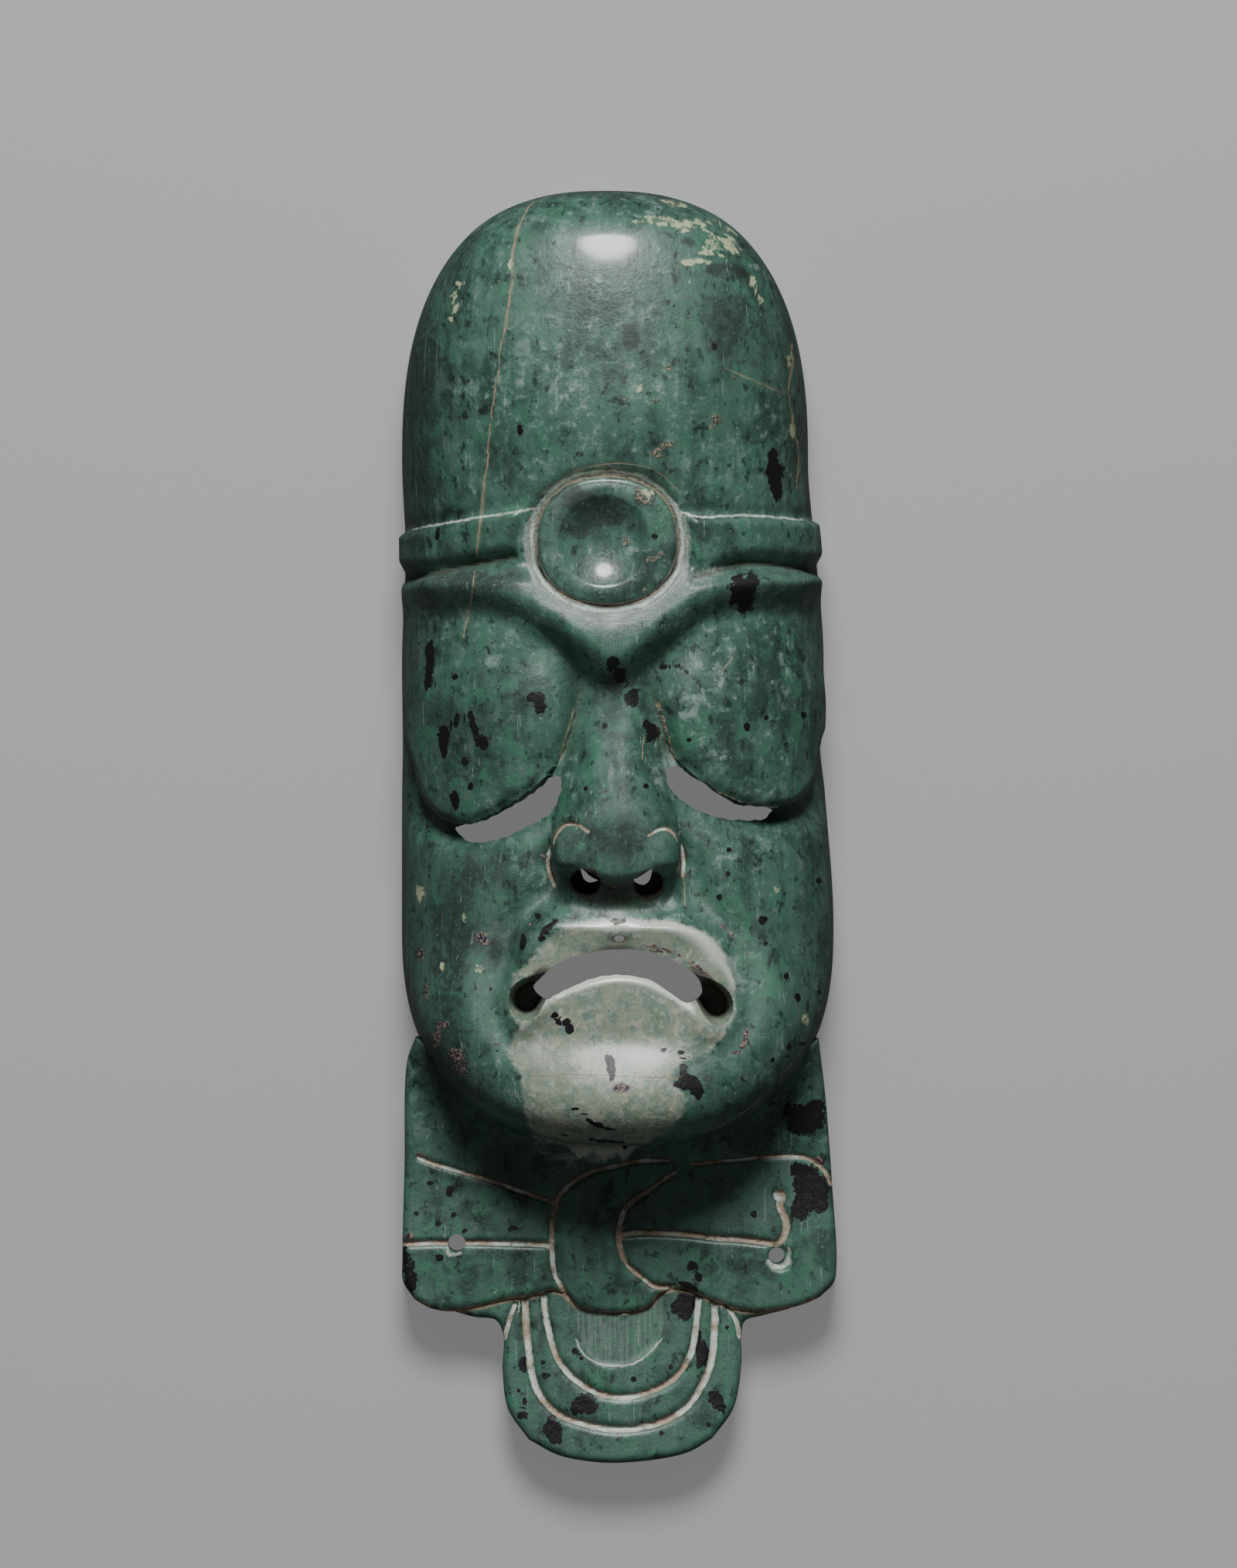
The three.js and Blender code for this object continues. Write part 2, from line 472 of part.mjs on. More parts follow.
function bufferOf(stone) {
  const { vertProperties, triVerts, numProp } = stone.getMesh();
  const position = new Float32Array((vertProperties.length / numProp) * 3);
  for (let i = 0; i < position.length / 3; i += 1) {
    position.set(vertProperties.subarray(i * numProp, i * numProp + 3), i * 3);
  }
  const geometry = new THREE.BufferGeometry().setAttribute('position', new THREE.BufferAttribute(position, 3));
  geometry.setIndex(new THREE.BufferAttribute(new Uint32Array(triVerts), 1));
  geometry.computeVertexNormals();
  return geometry;
}

const jade = new THREE.MeshStandardMaterial({ color: '#1f5a45', roughness: 0.35, metalness: 0 });
const mask = new THREE.Mesh(bufferOf(carve()), jade);
mask.name = 'jade_mask';

const part = new THREE.Group();
part.add(mask);
export default part;
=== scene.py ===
import bpy
import numpy as np
from mathutils import Matrix, Vector


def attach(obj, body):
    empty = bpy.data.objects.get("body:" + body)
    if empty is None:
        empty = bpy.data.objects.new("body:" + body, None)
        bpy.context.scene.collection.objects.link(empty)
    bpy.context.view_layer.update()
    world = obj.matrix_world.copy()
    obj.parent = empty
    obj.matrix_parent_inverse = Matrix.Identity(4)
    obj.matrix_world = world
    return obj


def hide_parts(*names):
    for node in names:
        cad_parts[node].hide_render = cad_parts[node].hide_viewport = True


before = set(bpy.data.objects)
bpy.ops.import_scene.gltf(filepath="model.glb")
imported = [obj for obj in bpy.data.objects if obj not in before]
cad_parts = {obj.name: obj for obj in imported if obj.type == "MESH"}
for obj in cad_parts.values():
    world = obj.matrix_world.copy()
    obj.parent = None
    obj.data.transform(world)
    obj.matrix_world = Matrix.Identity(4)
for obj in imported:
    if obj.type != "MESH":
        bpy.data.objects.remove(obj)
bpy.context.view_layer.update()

bl_info = {
    "name": "Carved jade mask",
    "version": (1, 0, 0),
    "blender": (4, 5, 0),
    "location": "View3D > Sidebar > Jade mask",
    "description": "Models a hollow carved jade mask with its collar and lobe, lying on its back",
    "category": "Add Mesh",
}

MM = 0.001
NODE = "jade_mask"

# The photograph: its size in pixels, the pixel that lies on the frame's origin, and a pixel in millimetres.
PHOTO_SIZE = (1600, 2028)
PHOTO_MIDDLE = (799, 1070.5)
MASK_HEIGHT = 180
MASK_PIXELS = 1645
PIXEL = MASK_HEIGHT / MASK_PIXELS
# The camera's sensor in millimetres; any size does, because the lens follows it.
SENSOR = 36.0

# The head in millimetres: tables are of [height up the face, value].
CROWN_START = 52.0
JAW_START = -14.0
CORNER = 2.5
HEAD_CENTRE = [(-14, 0), (5, -0.6), (12, -0.9), (25, -0.7), (39, -1), (52, -1.8)]
HEAD_HALF = [(-14, 30.6), (5, 30), (12, 29.6), (25, 29.9), (39, 29.1), (52, 28.8)]
HEAD_DEPTH = [(-44, 32.5), (-14, 31), (0, 30.5), (15, 31.5), (30, 33.8), (45, 35.5), (60, 36.5)]
SIDE_FULLNESS = (2.3, 3.0)
CROWN_FULLNESS = (3.6, 9.8)
CHIN_FULLNESS = (8.0, 10.0)
CUT = 1.0
# The grid's rows crowd towards the edge, outside this place of the grid and this share of the way out.
TURN_PLACE = 0.654
TURN_SHARE = 0.85
JAW = ((0, JAW_START), (30.6, 30.3), CORNER)

# The headband's two edges and the brow's edge, as [across, up the face].
BAND_TOP = [(-31, 41.6), (-12, 44.8), (9, 43.8), (29, 43.2)]
BAND_FOOT = [(-31, 36), (-12, 39), (9, 36), (19, 38), (29, 37)]
BROW_EDGE = [
    (-31, 31), (-26, 31.9), (-20.4, 32), (-15, 31.2), (-10.9, 29.3), (-6.3, 25.7), (-3.6, 22.6),
    (-1.6, 20.6), (0.6, 21.8), (3.1, 24), (6, 26.8), (9.3, 29.5), (12.6, 31.2), (17.6, 32.3), (23, 32.8),
    (29, 32.8),
]
# The nose: its rise and half width by the height up the face, and its wings' middles and half sizes.
NOSE_RISE = [
    (-13.5, 7.2), (-8, 6.8), (-6, 7.3), (-3, 7.7), (0, 7.6), (3, 7.1), (8, 5.6), (12.4, 3.8), (16, 1.6),
    (19, 0.5), (23, 0),
]
NOSE_HALF = [(-13, 6.5), (-9, 7.8), (-6, 8.9), (-4, 9.3), (2, 8.6), (6, 8), (12, 6.6), (18, 5), (24, 3.5)]
NOSE_TIP = 7.7
NOSE_LINE = -0.4
NOSE_FOOT = -7.2
WINGS = [(-6.6, -3.7), (6.4, -4.1)]
WING_HALF = (3.0, 4.1)
# Superellipses as centre, half sizes and exponent; the dish as centre, reach and its ball's radius.
DISC = ((-1.5, 40.4), (9.9, 9.1), 2.25)
COVE = ((-1.9, 39.3), (12.2, 11.2), 2.5)
DISH = ((-1.9, 40.4), 6.5, 10.8)
DISC_TOP = 36.2
DISC_LEAN = 0.06
DISC_ROOT = -6.0
DISH_SHARE = 0.66

PLATE_MIDDLES = (-18.5, 17.6)
PLATE_LEVEL = 15
PLATE_HALF = (14, 16)
# Outlines of the eye plates, the openings, the lips' rim, the muzzle, the mouth's corner pits, and the
# nostrils; the pits narrow from the mouth's level down to their floor.
LEFT_PLATE = [
    (-34, 30), (-26, 31.5), (-19, 31.4), (-13.5, 29.4), (-9.3, 25.6), (-6.6, 20.8), (-6.4, 16), (-8.2, 10.4),
    (-10.6, 6.6), (-16, 2.6), (-21, 0.3), (-24.8, 1.2), (-27.5, 4.2), (-28.9, 10), (-34, 18),
]
RIGHT_PLATE = [
    (34, 31), (23, 31.8), (16.6, 31.2), (12.4, 29.4), (8.4, 26), (5.6, 20.6), (6.2, 16), (8.2, 10),
    (10.6, 7.5), (15, 4.2), (20.8, 2.7), (25, 3.5), (27.6, 6.6), (28.3, 12), (34, 19),
]
LEFT_SLIT = [
    (-9.1, 7.3), (-8, 7), (-8, 5.2), (-9.3, 2.3), (-12.1, 0.5), (-17.1, -1.7), (-21.2, -1.9), (-22.9, 0),
    (-19.2, 0.9), (-15, 3), (-11.3, 5.4),
]
RIGHT_SLIT = [
    (6.8, 8.2), (8, 8.8), (10.1, 7.5), (13.3, 5.4), (16.6, 3.4), (21.8, 2.6), (20.7, 1.3), (16.3, 1.1),
    (12.6, 1.9), (8.9, 3.8), (7.2, 6),
]
MOUTH = [
    (-11.9, -22.6), (-10.6, -20.9), (-7.8, -18.7), (-0.6, -17.1), (6.1, -17.9), (10.9, -20.7), (11.9, -23.2),
    (9.8, -24.6), (4.7, -21.5), (0, -20.7), (-3.6, -21.2), (-8.4, -23.3), (-10.1, -24.1),
]
LIP_RIM = [
    (-9.5, -14.9), (-12.6, -18.4), (-15.2, -22.6), (-15.2, -26.6), (-13.5, -28), (-11.3, -26.4),
    (-8.6, -24.3), (-3.6, -22.1), (1, -21.5), (4.7, -22.3), (9.5, -25.4), (12.3, -28.2), (15.2, -28.4),
    (16.8, -24.6), (15.2, -20.6), (12.3, -17.2), (9.2, -15.3), (5, -14.5), (0, -14.4),
]
MUZZLE = [
    (-9, -2.5), (-11.5, -7.5), (-16.4, -14), (-18.2, -20), (-18.3, -28), (-12, -37), (12, -37), (17.6, -30),
    (18.8, -24), (17.6, -17.6), (13.6, -10.2), (9, -3),
]
LIP_RISE = [(-29, 1.2), (-24, 1.6), (-21, 1.9), (-16, 2.8), (-13, 3.0)]
CORNER_PITS = [
    [(-15.3, -24.2), (-14.9, -22.6), (-13.6, -21.5), (-11.8, -20.9), (-10.2, -20.6), (-9.5, -21.6),
     (-10.2, -23.8), (-10.9, -25.3), (-11.8, -26.5), (-13.3, -26.9), (-14.7, -26)],
    [(10.3, -20.6), (11.6, -21), (13.3, -21.5), (15.2, -22.6), (16.2, -24.2), (16.1, -26.2), (14.9, -27.5),
     (13.3, -27.3), (12.1, -26), (11.3, -24.5), (10.3, -22.5)],
]
PIT_FLOOR = 24.0
PIT_MOUTH = 31.0
PIT_TAPER = 0.62
NOSTRILS = [
    [(-5.2, -5.7), (-4.6, -6.1), (-4, -6.7), (-3.4, -7.1), (-2.8, -7.4), (-4, -7.7), (-4.7, -7.3),
     (-5, -6.7)],
    [(4.8, -5.8), (4.2, -6.1), (3.5, -6.6), (2.8, -7), (2.2, -7.3), (2.9, -7.9), (3.8, -8), (4.4, -7.5),
     (4.7, -6.8)],
]
# The balls scooped out at the nostrils: middles, half sizes and level, and how far down earth is left there.
NOSTRIL_PITS = [(-4.6, -7.7), (4.5, -8.1)]
NOSTRIL_PIT = (2.2, 2.1, 4.0)
NOSTRIL_LEVEL = 34.5
NOSTRIL_DEPTH = 28
# The hole drilled in the upper lip: across, up, and half sizes.
LIP_HOLE = (0.2, -15.6, 0.75, 0.5)

# The collar's foot is the lower edge of its flaps and knot, which lie on the plate that the lobe hangs from.
COLLAR = {
    "left": [(-28.8, -66.8), (-30.4, -64.2), (-30.5, -61), (-30.2, -48), (-29.8, -33), (-28.6, -29.6)],
    "right": [(28.6, -66.5), (30.6, -64.4), (31, -61.4), (30.4, -51), (29.4, -38), (28.4, -29.8)],
    "foot": [(-28.8, -66.8), (-26.4, -68.1), (-23, -68.5), (-16, -67), (-11.8, -66.3), (-9.2, -65.6),
        (-7.6, -66.2), (-5.8, -67.8), (-2.6, -68.6), (1.2, -68.7), (4.4, -67.9), (6.2, -66), (8.6, -65.4),
        (13.4, -67), (17.2, -68.4), (21.8, -68.5), (26, -67.6), (28.6, -66.5)],
    "head": [(-28.6, -29.6), (-20, -33.5), (0, -38.5), (20, -33.5), (28.4, -29.8)],
}
LOBE = {
    "left": [(-12.6, -86.7), (-15.5, -82.4), (-16.3, -77), (-16.2, -72), (-17.2, -69.8), (-20.4, -69.3),
        (-24.2, -68.2)],
    "right": [(13.4, -86.5), (16.4, -82.2), (17.5, -76), (17.5, -72), (18, -69.9), (20.6, -69.1),
        (24.2, -68.2)],
    "foot": [(-12.6, -86.7), (-8.4, -88.9), (-4, -89.8), (0, -90), (6.2, -89.4), (10.2, -88.4),
        (13.4, -86.5)],
    "head": [(-24.2, -68.2), (-18, -64.5), (0, -62), (18, -64.5), (24.2, -68.2)],
}
# Thickness of the collar by the height up it, and of the lobe.
COLLAR_DEPTH = [(-69, 9.6), (-60, 10.2), (-48, 10.6), (-40, 12.2), (-30, 14)]
LOBE_DEPTH = 8.8
# The cord holes and the right one's countersink: across, up and radius.
CORD_HOLES = [(-22.8, -58.8, 1.25), (22.5, -60.6, 1.15)]
COUNTERSINK = (22.9, -60.9, 2.2)

# Soft mounds, or hollows where the height is below nought: across, up, half width, half height, height.
CHIN = (1, -38.5, 12, 5.2, 2.2)
CHIN_HOLLOW = (0, -29.8, 10, 2.5, -0.6)
CHEEK = (21, -13, 9, 12, 0.5)
UNDER_NOSE = (0, -10.9, 7, 2.7, -1.5)
BRIDGE_HOLLOW = (0, 18, 6.5, 5, -0.8)
# Earth left in two places, in the same form.
UNDER_NOSE_EARTH = (0, -9.8, 7, 2.6, 0.95)
LIP_HOLE_EARTH = (0.1, -15.6, 3.2, 1.1, 1.15)

# How far down and up the cutters reach, the steps of the rounded edges and slabs, and the sides of an oval.
THROUGH = (-10, 60)
CORD_CUT = (-10, 40)
EDGE_STEPS = (0.1, 0.24, 0.42, 0.64, 0.9, 1.2)
SLAB_STEP = 0.3
OVAL_SIDES = 40
# Grids of the head and its hollow: half the columns, then rows over the jaw, up the face and over the
# crown, as [from, to, steps].
HEAD_GRID = (88, [(-1, -0.36, 52), (-0.36, 0, 36)],
             [(-14, -4, 24), (-4, 12, 38), (12, 28, 34), (28, 46, 44), (46, 52, 11)], [(0, 1, 50)])
HOLLOW_GRID = (24, [(-1, 0, 16)], [(-14, 52, 26)], [(0, 1, 16)])
# Edges that turn by more than so many degrees are shaded sharp.
SHARP_ANGLE = 50

# Incised lines: half width, depth, and the run of points.
COLLAR_LINES = {
    "upper left": (0.6, 0.5, [(-28.2, -46.7), (-25.8, -47.6), (-21.1, -49), (-18.1, -49.9), (-13.9, -51.4),
        (-9.2, -53)]),
    "middle left": (0.7, 0.7, [(-31.5, -58.9), (-22, -58.7), (-9.8, -59)]),
    "knot outside": (0.65, 0.6, [(7.1, -47.1), (3.7, -47.1), (-0.1, -47.8), (-3.4, -48.6), (-5.9, -49.9),
        (-8, -51.8), (-9.1, -54.5), (-9.3, -60.2), (-8.9, -63.1), (-7.6, -65.6), (-5.6, -68.6)]),
    "knot inside": (0.7, 0.65, [(7.9, -48.9), (5.8, -50.3), (4.1, -51.6), (2.5, -52.6), (1, -54.1),
        (0.1, -57.7), (0.4, -59.8), (1.4, -61.9), (3.3, -63.5), (5.2, -64.9), (7.6, -65)]),
    "upper right": (0.55, 0.45, [(10.6, -47.6), (17.6, -46.9), (21.8, -46.5), (26, -46.5), (27.7, -47.2),
        (29.3, -48.6), (30.2, -50.4)]),
    "middle right": (0.8, 0.7, [(0.4, -57.6), (2.9, -57.3), (9.2, -57.5), (13.4, -58), (17.6, -58.3),
        (21.6, -58.8)]),
    "hook": (0.95, 0.55, [(22.9, -53.2), (23.1, -54.1), (23.6, -55.1), (23.9, -56.6), (23.3, -58.2),
        (22.5, -58.9)]),
    "hook end": (1.5, 0.5, [(22.85, -52), (22.95, -52.4)]),
}
LOBE_LINES = {
    "outer": (0.9, 0.7, [(-13.2, -66), (-12.9, -71), (-12.3, -76.6), (-11.3, -79.8), (-8.9, -82.7),
        (-5.4, -84.2), (-0.2, -85.2), (5.4, -84.4), (9.2, -82.5), (11.7, -79.4), (13.2, -75.8), (13.7, -71),
        (13.7, -66)]),
    "middle": (0.8, 0.6, [(-10.6, -65), (-10.2, -68.9), (-9.5, -72.4), (-8.2, -75.8), (-6, -78.2),
        (-2.4, -80.2), (1.4, -80.6), (5.6, -79.4), (8.4, -77.6), (10.3, -74.6), (11, -71.4), (11.5, -66)]),
    "left end": (0.6, 0.45, [(-14.6, -67.6), (-15.4, -70), (-16, -72.2)]),
    "right end": (0.6, 0.45, [(15.6, -67.8), (16.8, -70), (17.2, -72)]),
}
# The sunk field under the knot and the nub in it.
FIELD = [
    (-7.4, -64), (-7, -67.2), (-6.5, -69.9), (-5.5, -72.6), (-4.3, -75), (-2.8, -76.2), (-0.4, -76.5),
    (1.9, -76), (3.6, -75.1), (5.4, -73.8), (6.6, -72.1), (7.1, -69.9), (7, -67), (6.9, -64),
]
NUB = (0.9, -68.9)
FACE_LINES = {
    "left wing": (0.5, 0.35, [(-8.9, -8.2), (-9.8, -5.6), (-9.4, -2.6), (-7.6, 0.3), (-5.6, 0.5),
        (-4.2, -0.5)]),
    "right wing": (0.5, 0.35, [(9.1, -6.8), (9.3, -4.6), (8.7, -2.2), (7.2, -0.2), (5.8, -0.2), (4.4, -1)]),
}

# Marks on the stone are read off the photograph: across, down, half width and half height in its pixels, and
# a turn in degrees where the mark is tilted.
BLACK_SPOTS = [
    (677, 1764, 6, 10), (756, 1817, 15, 13), (745, 1822, 8, 8), (717, 1852, 13, 15), (713, 1838, 6, 7),
    (676, 1831, 7, 7), (908, 1752, 10, 17), (903, 1733, 5, 12), (928, 1813, 9, 15, 20), (885, 1690, 15, 17),
    (893, 1671, 11, 9), (820, 1785, 4, 4), (867, 1769, 3, 3), (706, 1780, 5, 4), (702, 1762, 3, 3),
    (744, 1748, 4, 4), (752, 1758, 3, 3), (940, 1717, 2.5, 2.5), (855, 1853, 3, 4), (678, 1812, 3, 4),
    (917, 1843, 3, 3), (671, 1799, 3, 2.5), (915, 1875, 12, 5, 30), (1046, 1527, 24, 24),
    (1034, 1560, 11, 23), (1060, 1538, 14, 25), (1050, 1552, 21, 17, 10), (1029, 1515, 7, 12),
    (1041, 1448, 27, 20), (1054, 1434, 14, 12), (1020, 1436, 8, 10), (530, 1654, 8, 24), (524, 1625, 4, 14),
    (582, 1541, 6, 6), (557, 1530, 4, 3), (566, 1582, 4, 3.5), (587, 1571, 4, 3.5), (539, 1569, 3, 3),
    (568, 1627, 6, 5), (601, 1592, 3, 3), (663, 1589, 6, 4), (976, 1570, 4, 4), (896, 1638, 7, 6),
    (903, 1652, 5, 6), (887, 1660, 8, 4), (790, 1379, 5.5, 17, 4), (788, 1369, 5, 6), (884, 1386, 5, 12),
    (890, 1399, 15, 9), (899, 1406, 14, 5, -20), (902, 1413, 6, 6), (875, 1400, 6, 4), (858, 1356, 4, 2.5),
    (880, 1359, 4.5, 3), (718, 1311, 5, 5), (722, 1321, 3, 3), (733, 1321, 6, 5), (737, 1330, 5, 6),
    (763, 1447, 6, 2.5, -25), (773, 1452, 6, 4, -10), (783, 1457, 6, 2.5, -15), (793, 1459, 4, 1.5),
    (766, 1472, 4, 2), (777, 1474, 7, 2.5, 5), (791, 1475, 7, 2.5, -5), (804, 1477, 5, 3),
    (809, 1484, 2.5, 3), (744, 1432, 5, 2), (730, 1466, 6, 1.5, -10), (711, 1198, 13, 4, 40),
    (702, 1212, 5, 4), (677, 1219, 4, 13), (697, 1184, 4, 4), (1001, 614, 12, 22), (1000, 592, 6, 12),
    (1004, 636, 7, 14), (958, 767, 18, 22), (972, 752, 9, 12), (962, 788, 12, 7), (792, 858, 8, 9),
    (802, 873, 10, 11), (557, 853, 6, 30), (553, 880, 4, 18), (567, 690, 3, 9), (817, 903, 10, 13),
    (844, 948, 10, 13), (836, 937, 5, 7), (783, 939, 4, 4), (836, 1017, 4, 4), (758, 1019, 3, 3),
    (848, 696, 4, 4), (590, 876, 4, 4), (692, 903, 11, 8), (700, 916, 8, 9), (591, 931, 4, 8),
    (609, 926, 4, 6), (613, 941, 5, 9), (625, 958, 9, 10), (575, 958, 7, 21), (589, 1034, 5.5, 13),
    (609, 1017, 4, 5), (602, 985, 5, 6), (965, 940, 5, 7), (991, 929, 3, 3), (1039, 925, 4, 4),
    (891, 957, 3, 3), (876, 862, 4, 3), (887, 869, 3, 3), (858, 862, 5, 5), (942, 1099, 4, 3.5),
    (1059, 1138, 4, 3.5), (986, 1190, 5, 5), (989, 1220, 3, 3), (1031, 1289, 4.5, 7), (1016, 1261, 3.5, 5),
    (1059, 1283, 3, 3), (1020, 1352, 3, 5), (999, 1369, 2.5, 4), (1038, 1349, 4, 3), (930, 1160, 3.5, 4),
    (941, 1129, 3, 3), (673, 558, 4, 7), (923, 451, 4, 5),
]
CREAM_SPOTS = [
    (878, 266, 16, 5), (862, 263, 7, 3), (868, 290, 38, 4.5), (843, 287, 14, 4), (900, 293, 14, 5),
    (884, 300, 10, 4), (934, 318, 16, 7), (920, 311, 8, 4), (947, 327, 10, 5), (916, 325, 7, 5),
    (905, 341, 19, 4), (890, 345, 8, 3), (948, 300, 13, 5, -35), (973, 368, 4, 7), (982, 390, 3.5, 7),
    (596, 369, 6, 4), (588, 387, 5, 4), (590, 399, 3.5, 6), (586, 415, 4, 4), (828, 506, 5, 4),
    (602, 1187, 3, 8), (573, 1249, 4, 5), (620, 1252, 5, 5), (543, 1155, 6, 9), (1040, 1317, 5, 6),
    (1005, 1149, 3.5, 6), (838, 641, 9, 6), (662, 347, 4, 9), (1020, 470, 5, 12), (1025, 555, 3, 14),
]
TAN_SPOTS = [
    (866, 479, 6, 5), (809, 519, 3, 3), (848, 522, 4, 3), (926, 545, 9, 7), (920, 553, 6, 4),
    (948, 490, 2.5, 2), (866, 577, 11, 4), (849, 588, 8, 6), (831, 646, 12, 7), (826, 640, 7, 5),
    (846, 724, 9, 3.5, 20), (855, 720, 4, 4), (810, 702, 4, 7), (833, 765, 3.5, 3.5), (622, 1210, 8, 10),
    (627, 1219, 6, 5), (544, 1234, 6, 8), (552, 1285, 3.5, 13), (566, 1342, 4, 17), (575, 1323, 6, 3.5),
    (594, 1366, 9, 12), (598, 1382, 9, 9), (585, 1362, 5, 10), (635, 1277, 2.5, 2.5), (643, 1349, 2, 2),
    (643, 1358, 2, 2), (686, 1194, 2, 2), (742, 1187, 5, 2.5, 15), (706, 1102, 5, 9, -15),
    (791, 1148, 6, 3.5), (799, 1191, 9, 4), (885.5, 1173, 3, 3), (933, 1198, 3, 3), (946, 1208, 3, 3),
    (964, 1334, 3, 7), (961, 1348, 3.5, 7, -15), (952, 1359, 7, 3, 15), (1020, 1414, 3, 4),
    (1000, 1427, 12, 2.5, 25), (785, 1024, 2, 2), (804, 1404, 10, 6), (853, 1452, 5, 2),
    (872, 1232, 20, 3, -22), (905, 1252, 12, 3, -28), (846, 1227, 9, 3, -18), (865, 1477, 6, 2, 10),
    (790, 1653, 3, 1.5), (529, 1600, 5, 5), (543, 1496, 5, 6), (1060, 1502, 8, 5, -30),
]
# Soft changes of tone: across, down, half width, half height, and how much paler (or darker, below nought).
# Most are clouds and stains of the stone; the marks noted below are painted light or shade.
TONES = [
    (636, 860, 12, 9, 0.7), (640, 845, 20, 26, 0.35), (905, 912, 33, 24, 0.25), (923, 978, 18, 14, 0.5),
    # The second mark here is a pale bar on the cheek beside the nose's left wing, a painted highlight.
    (932, 850, 12, 30, 0.3), (702, 1130, 10, 34, 0.4), (866, 1170, 20, 9, 0.6), (932, 1108, 12, 5, 0.9),
    (976, 1124, 8, 4, 0.9), (981, 1111, 7, 3, 0.7), (965, 1083, 6, 2.5, 0.6), (1028, 1264, 3, 9, 0.6),
    # The last two marks here and the first of the next line are pale streaks on the ridges beside the mouth's
    # folds, a painted highlight.
    (924, 1124, 4, 4, 0.6), (978, 1222, 5, 7, 0.5), (638, 1285, 8, 46, 0.45), (645, 1345, 10, 30, 0.3),
    (974, 1265, 7, 46, 0.4), (975, 346, 20, 6, 0.9), (753, 363, 13, 5, 1), (590, 470, 20, 30, 0.2),
    # The last mark here darkens the top of the dish: dark mottling with painted shade.
    (700, 520, 60, 40, 0.25), (880, 530, 60, 40, 0.2), (790, 1085, 62, 34, -0.7), (760, 668, 46, 26, -0.75),
    # The last mark here is a pale haze round the dish's highlight, a painted sheen.
    (745, 505, 10, 6, 0.5), (672, 500, 6, 10, 0.3), (795, 905, 18, 40, -0.4), (780, 716, 36, 22, 0.35),
    (813, 440, 13, 20, -0.9), (600, 1190, 60, 90, -0.3), (1010, 1180, 50, 80, -0.2),
    # The second mark here is a pale haze below the crown's highlight, a painted sheen.
    (960, 450, 50, 80, -0.25), (780, 420, 46, 90, 0.25), (775, 1490, 70, 10, 0.7), (690, 1472, 26, 10, 0.5),
    (985, 1020, 20, 14, 0.2), (655, 1255, 5, 22, 0.4), (787, 1543, 13, 24, -0.6), (663, 1589, 13, 9, -0.6),
    (921, 1545, 8, 7, -0.6), (644, 1231, 11, 18, -0.7), (675, 1210, 18, 16, -0.4), (903, 1367, 12, 9, -0.7),
    (912, 1392, 16, 16, -0.4), (821, 444, 14, 14, -0.5), (803, 492, 10, 30, -0.6), (923, 451, 9, 8, -0.5),
    (837, 554, 8, 7, -0.6), (573, 468, 11, 13, -0.6), (1003, 604, 12, 20, -0.4), (705, 500, 6, 6, -0.5),
    (775, 515, 8, 7, -0.5), (866, 862, 14, 11, -0.7), (621, 869, 9, 16, -0.6), (730, 610, 12, 7, -0.5),
    (981, 887, 11, 9, -0.6), (1008, 1038, 12, 7, -0.6), (602, 985, 8, 10, -0.6), (536, 880, 9, 60, -0.6),
    (548, 470, 26, 110, -0.55), (545, 620, 22, 70, -0.35), (950, 430, 34, 60, -0.35),
    (925, 400, 50, 40, -0.25), (1020, 420, 14, 60, -0.4), (600, 340, 20, 26, -0.4), (612, 936, 26, 26, -0.3),
    (576, 930, 26, 50, -0.3), (640, 1270, 8, 12, -0.3), (555, 1370, 20, 30, -0.4),
    (620, 1130, 34, 22, -0.45), (960, 1060, 40, 14, -0.4), (735, 860, 9, 60, -0.5),
    # The last mark here and the next line darken the top of the dish again: dark mottling with painted shade.
    (790, 880, 30, 22, -0.55), (760, 1600, 30, 60, -0.25), (740, 640, 14, 12, -0.7),
    (765, 652, 26, 12, -0.8), (745, 690, 22, 14, -0.5), (800, 670, 18, 14, -0.5), (830, 690, 8, 12, -0.4),
    (925, 352, 18, 7, -0.9), (888, 316, 13, 7, -0.9), (957, 352, 12, 9, -1), (962, 320, 8, 8, -0.8),
    (575, 1290, 26, 100, -0.45), (600, 1180, 30, 70, -0.25), (560, 310, 14, 22, -0.6),
    (738, 1000, 9, 40, 0.5), (852, 985, 13, 45, 0.5), (905, 900, 55, 55, 0.4), (1010, 900, 26, 80, 0.35),
    (985, 530, 36, 50, 0.25), (1015, 600, 16, 60, 0.3), (905, 1245, 26, 18, 0.4), (700, 1235, 24, 14, 0.4),
    # The first two marks here are painted shade under the lower lip's rim; the last is a painted highlight on
    # the chin.
    (760, 1294, 50, 9, -0.5), (840, 1300, 30, 9, -0.5), (700, 1350, 26, 34, 0.4), (838, 1364, 56, 18, 0.7),
    # The first mark here is a darker band in the hollow under the lower lip, painted shade.
    (790, 1330, 60, 8, -0.45), (620, 752, 80, 20, -0.75), (1010, 743, 50, 12, -0.35),
    (690, 1310, 8, 8, -0.5), (600, 1405, 50, 50, -0.35), (940, 1430, 50, 36, -0.4),
    (760, 1435, 70, 26, -0.35), (838, 1430, 20, 10, -0.4), (590, 1590, 40, 60, 0.12),
    (745, 1500, 60, 8, 0.5),
]
# Places that still have their full polish: across, down, half width, half height.
POLISHED = [(793, 330, 120, 110), (782, 700, 95, 95), (805, 1202, 60, 10), (795, 1275, 80, 20)]
# Places that have no polish left, in the same form.
DULL = [
    (793, 905, 26, 44), (790, 1000, 14, 40), (790, 1090, 90, 40), (590, 748, 80, 20), (1000, 748, 60, 20),
    (630, 1270, 30, 70), (975, 1260, 30, 70),
]
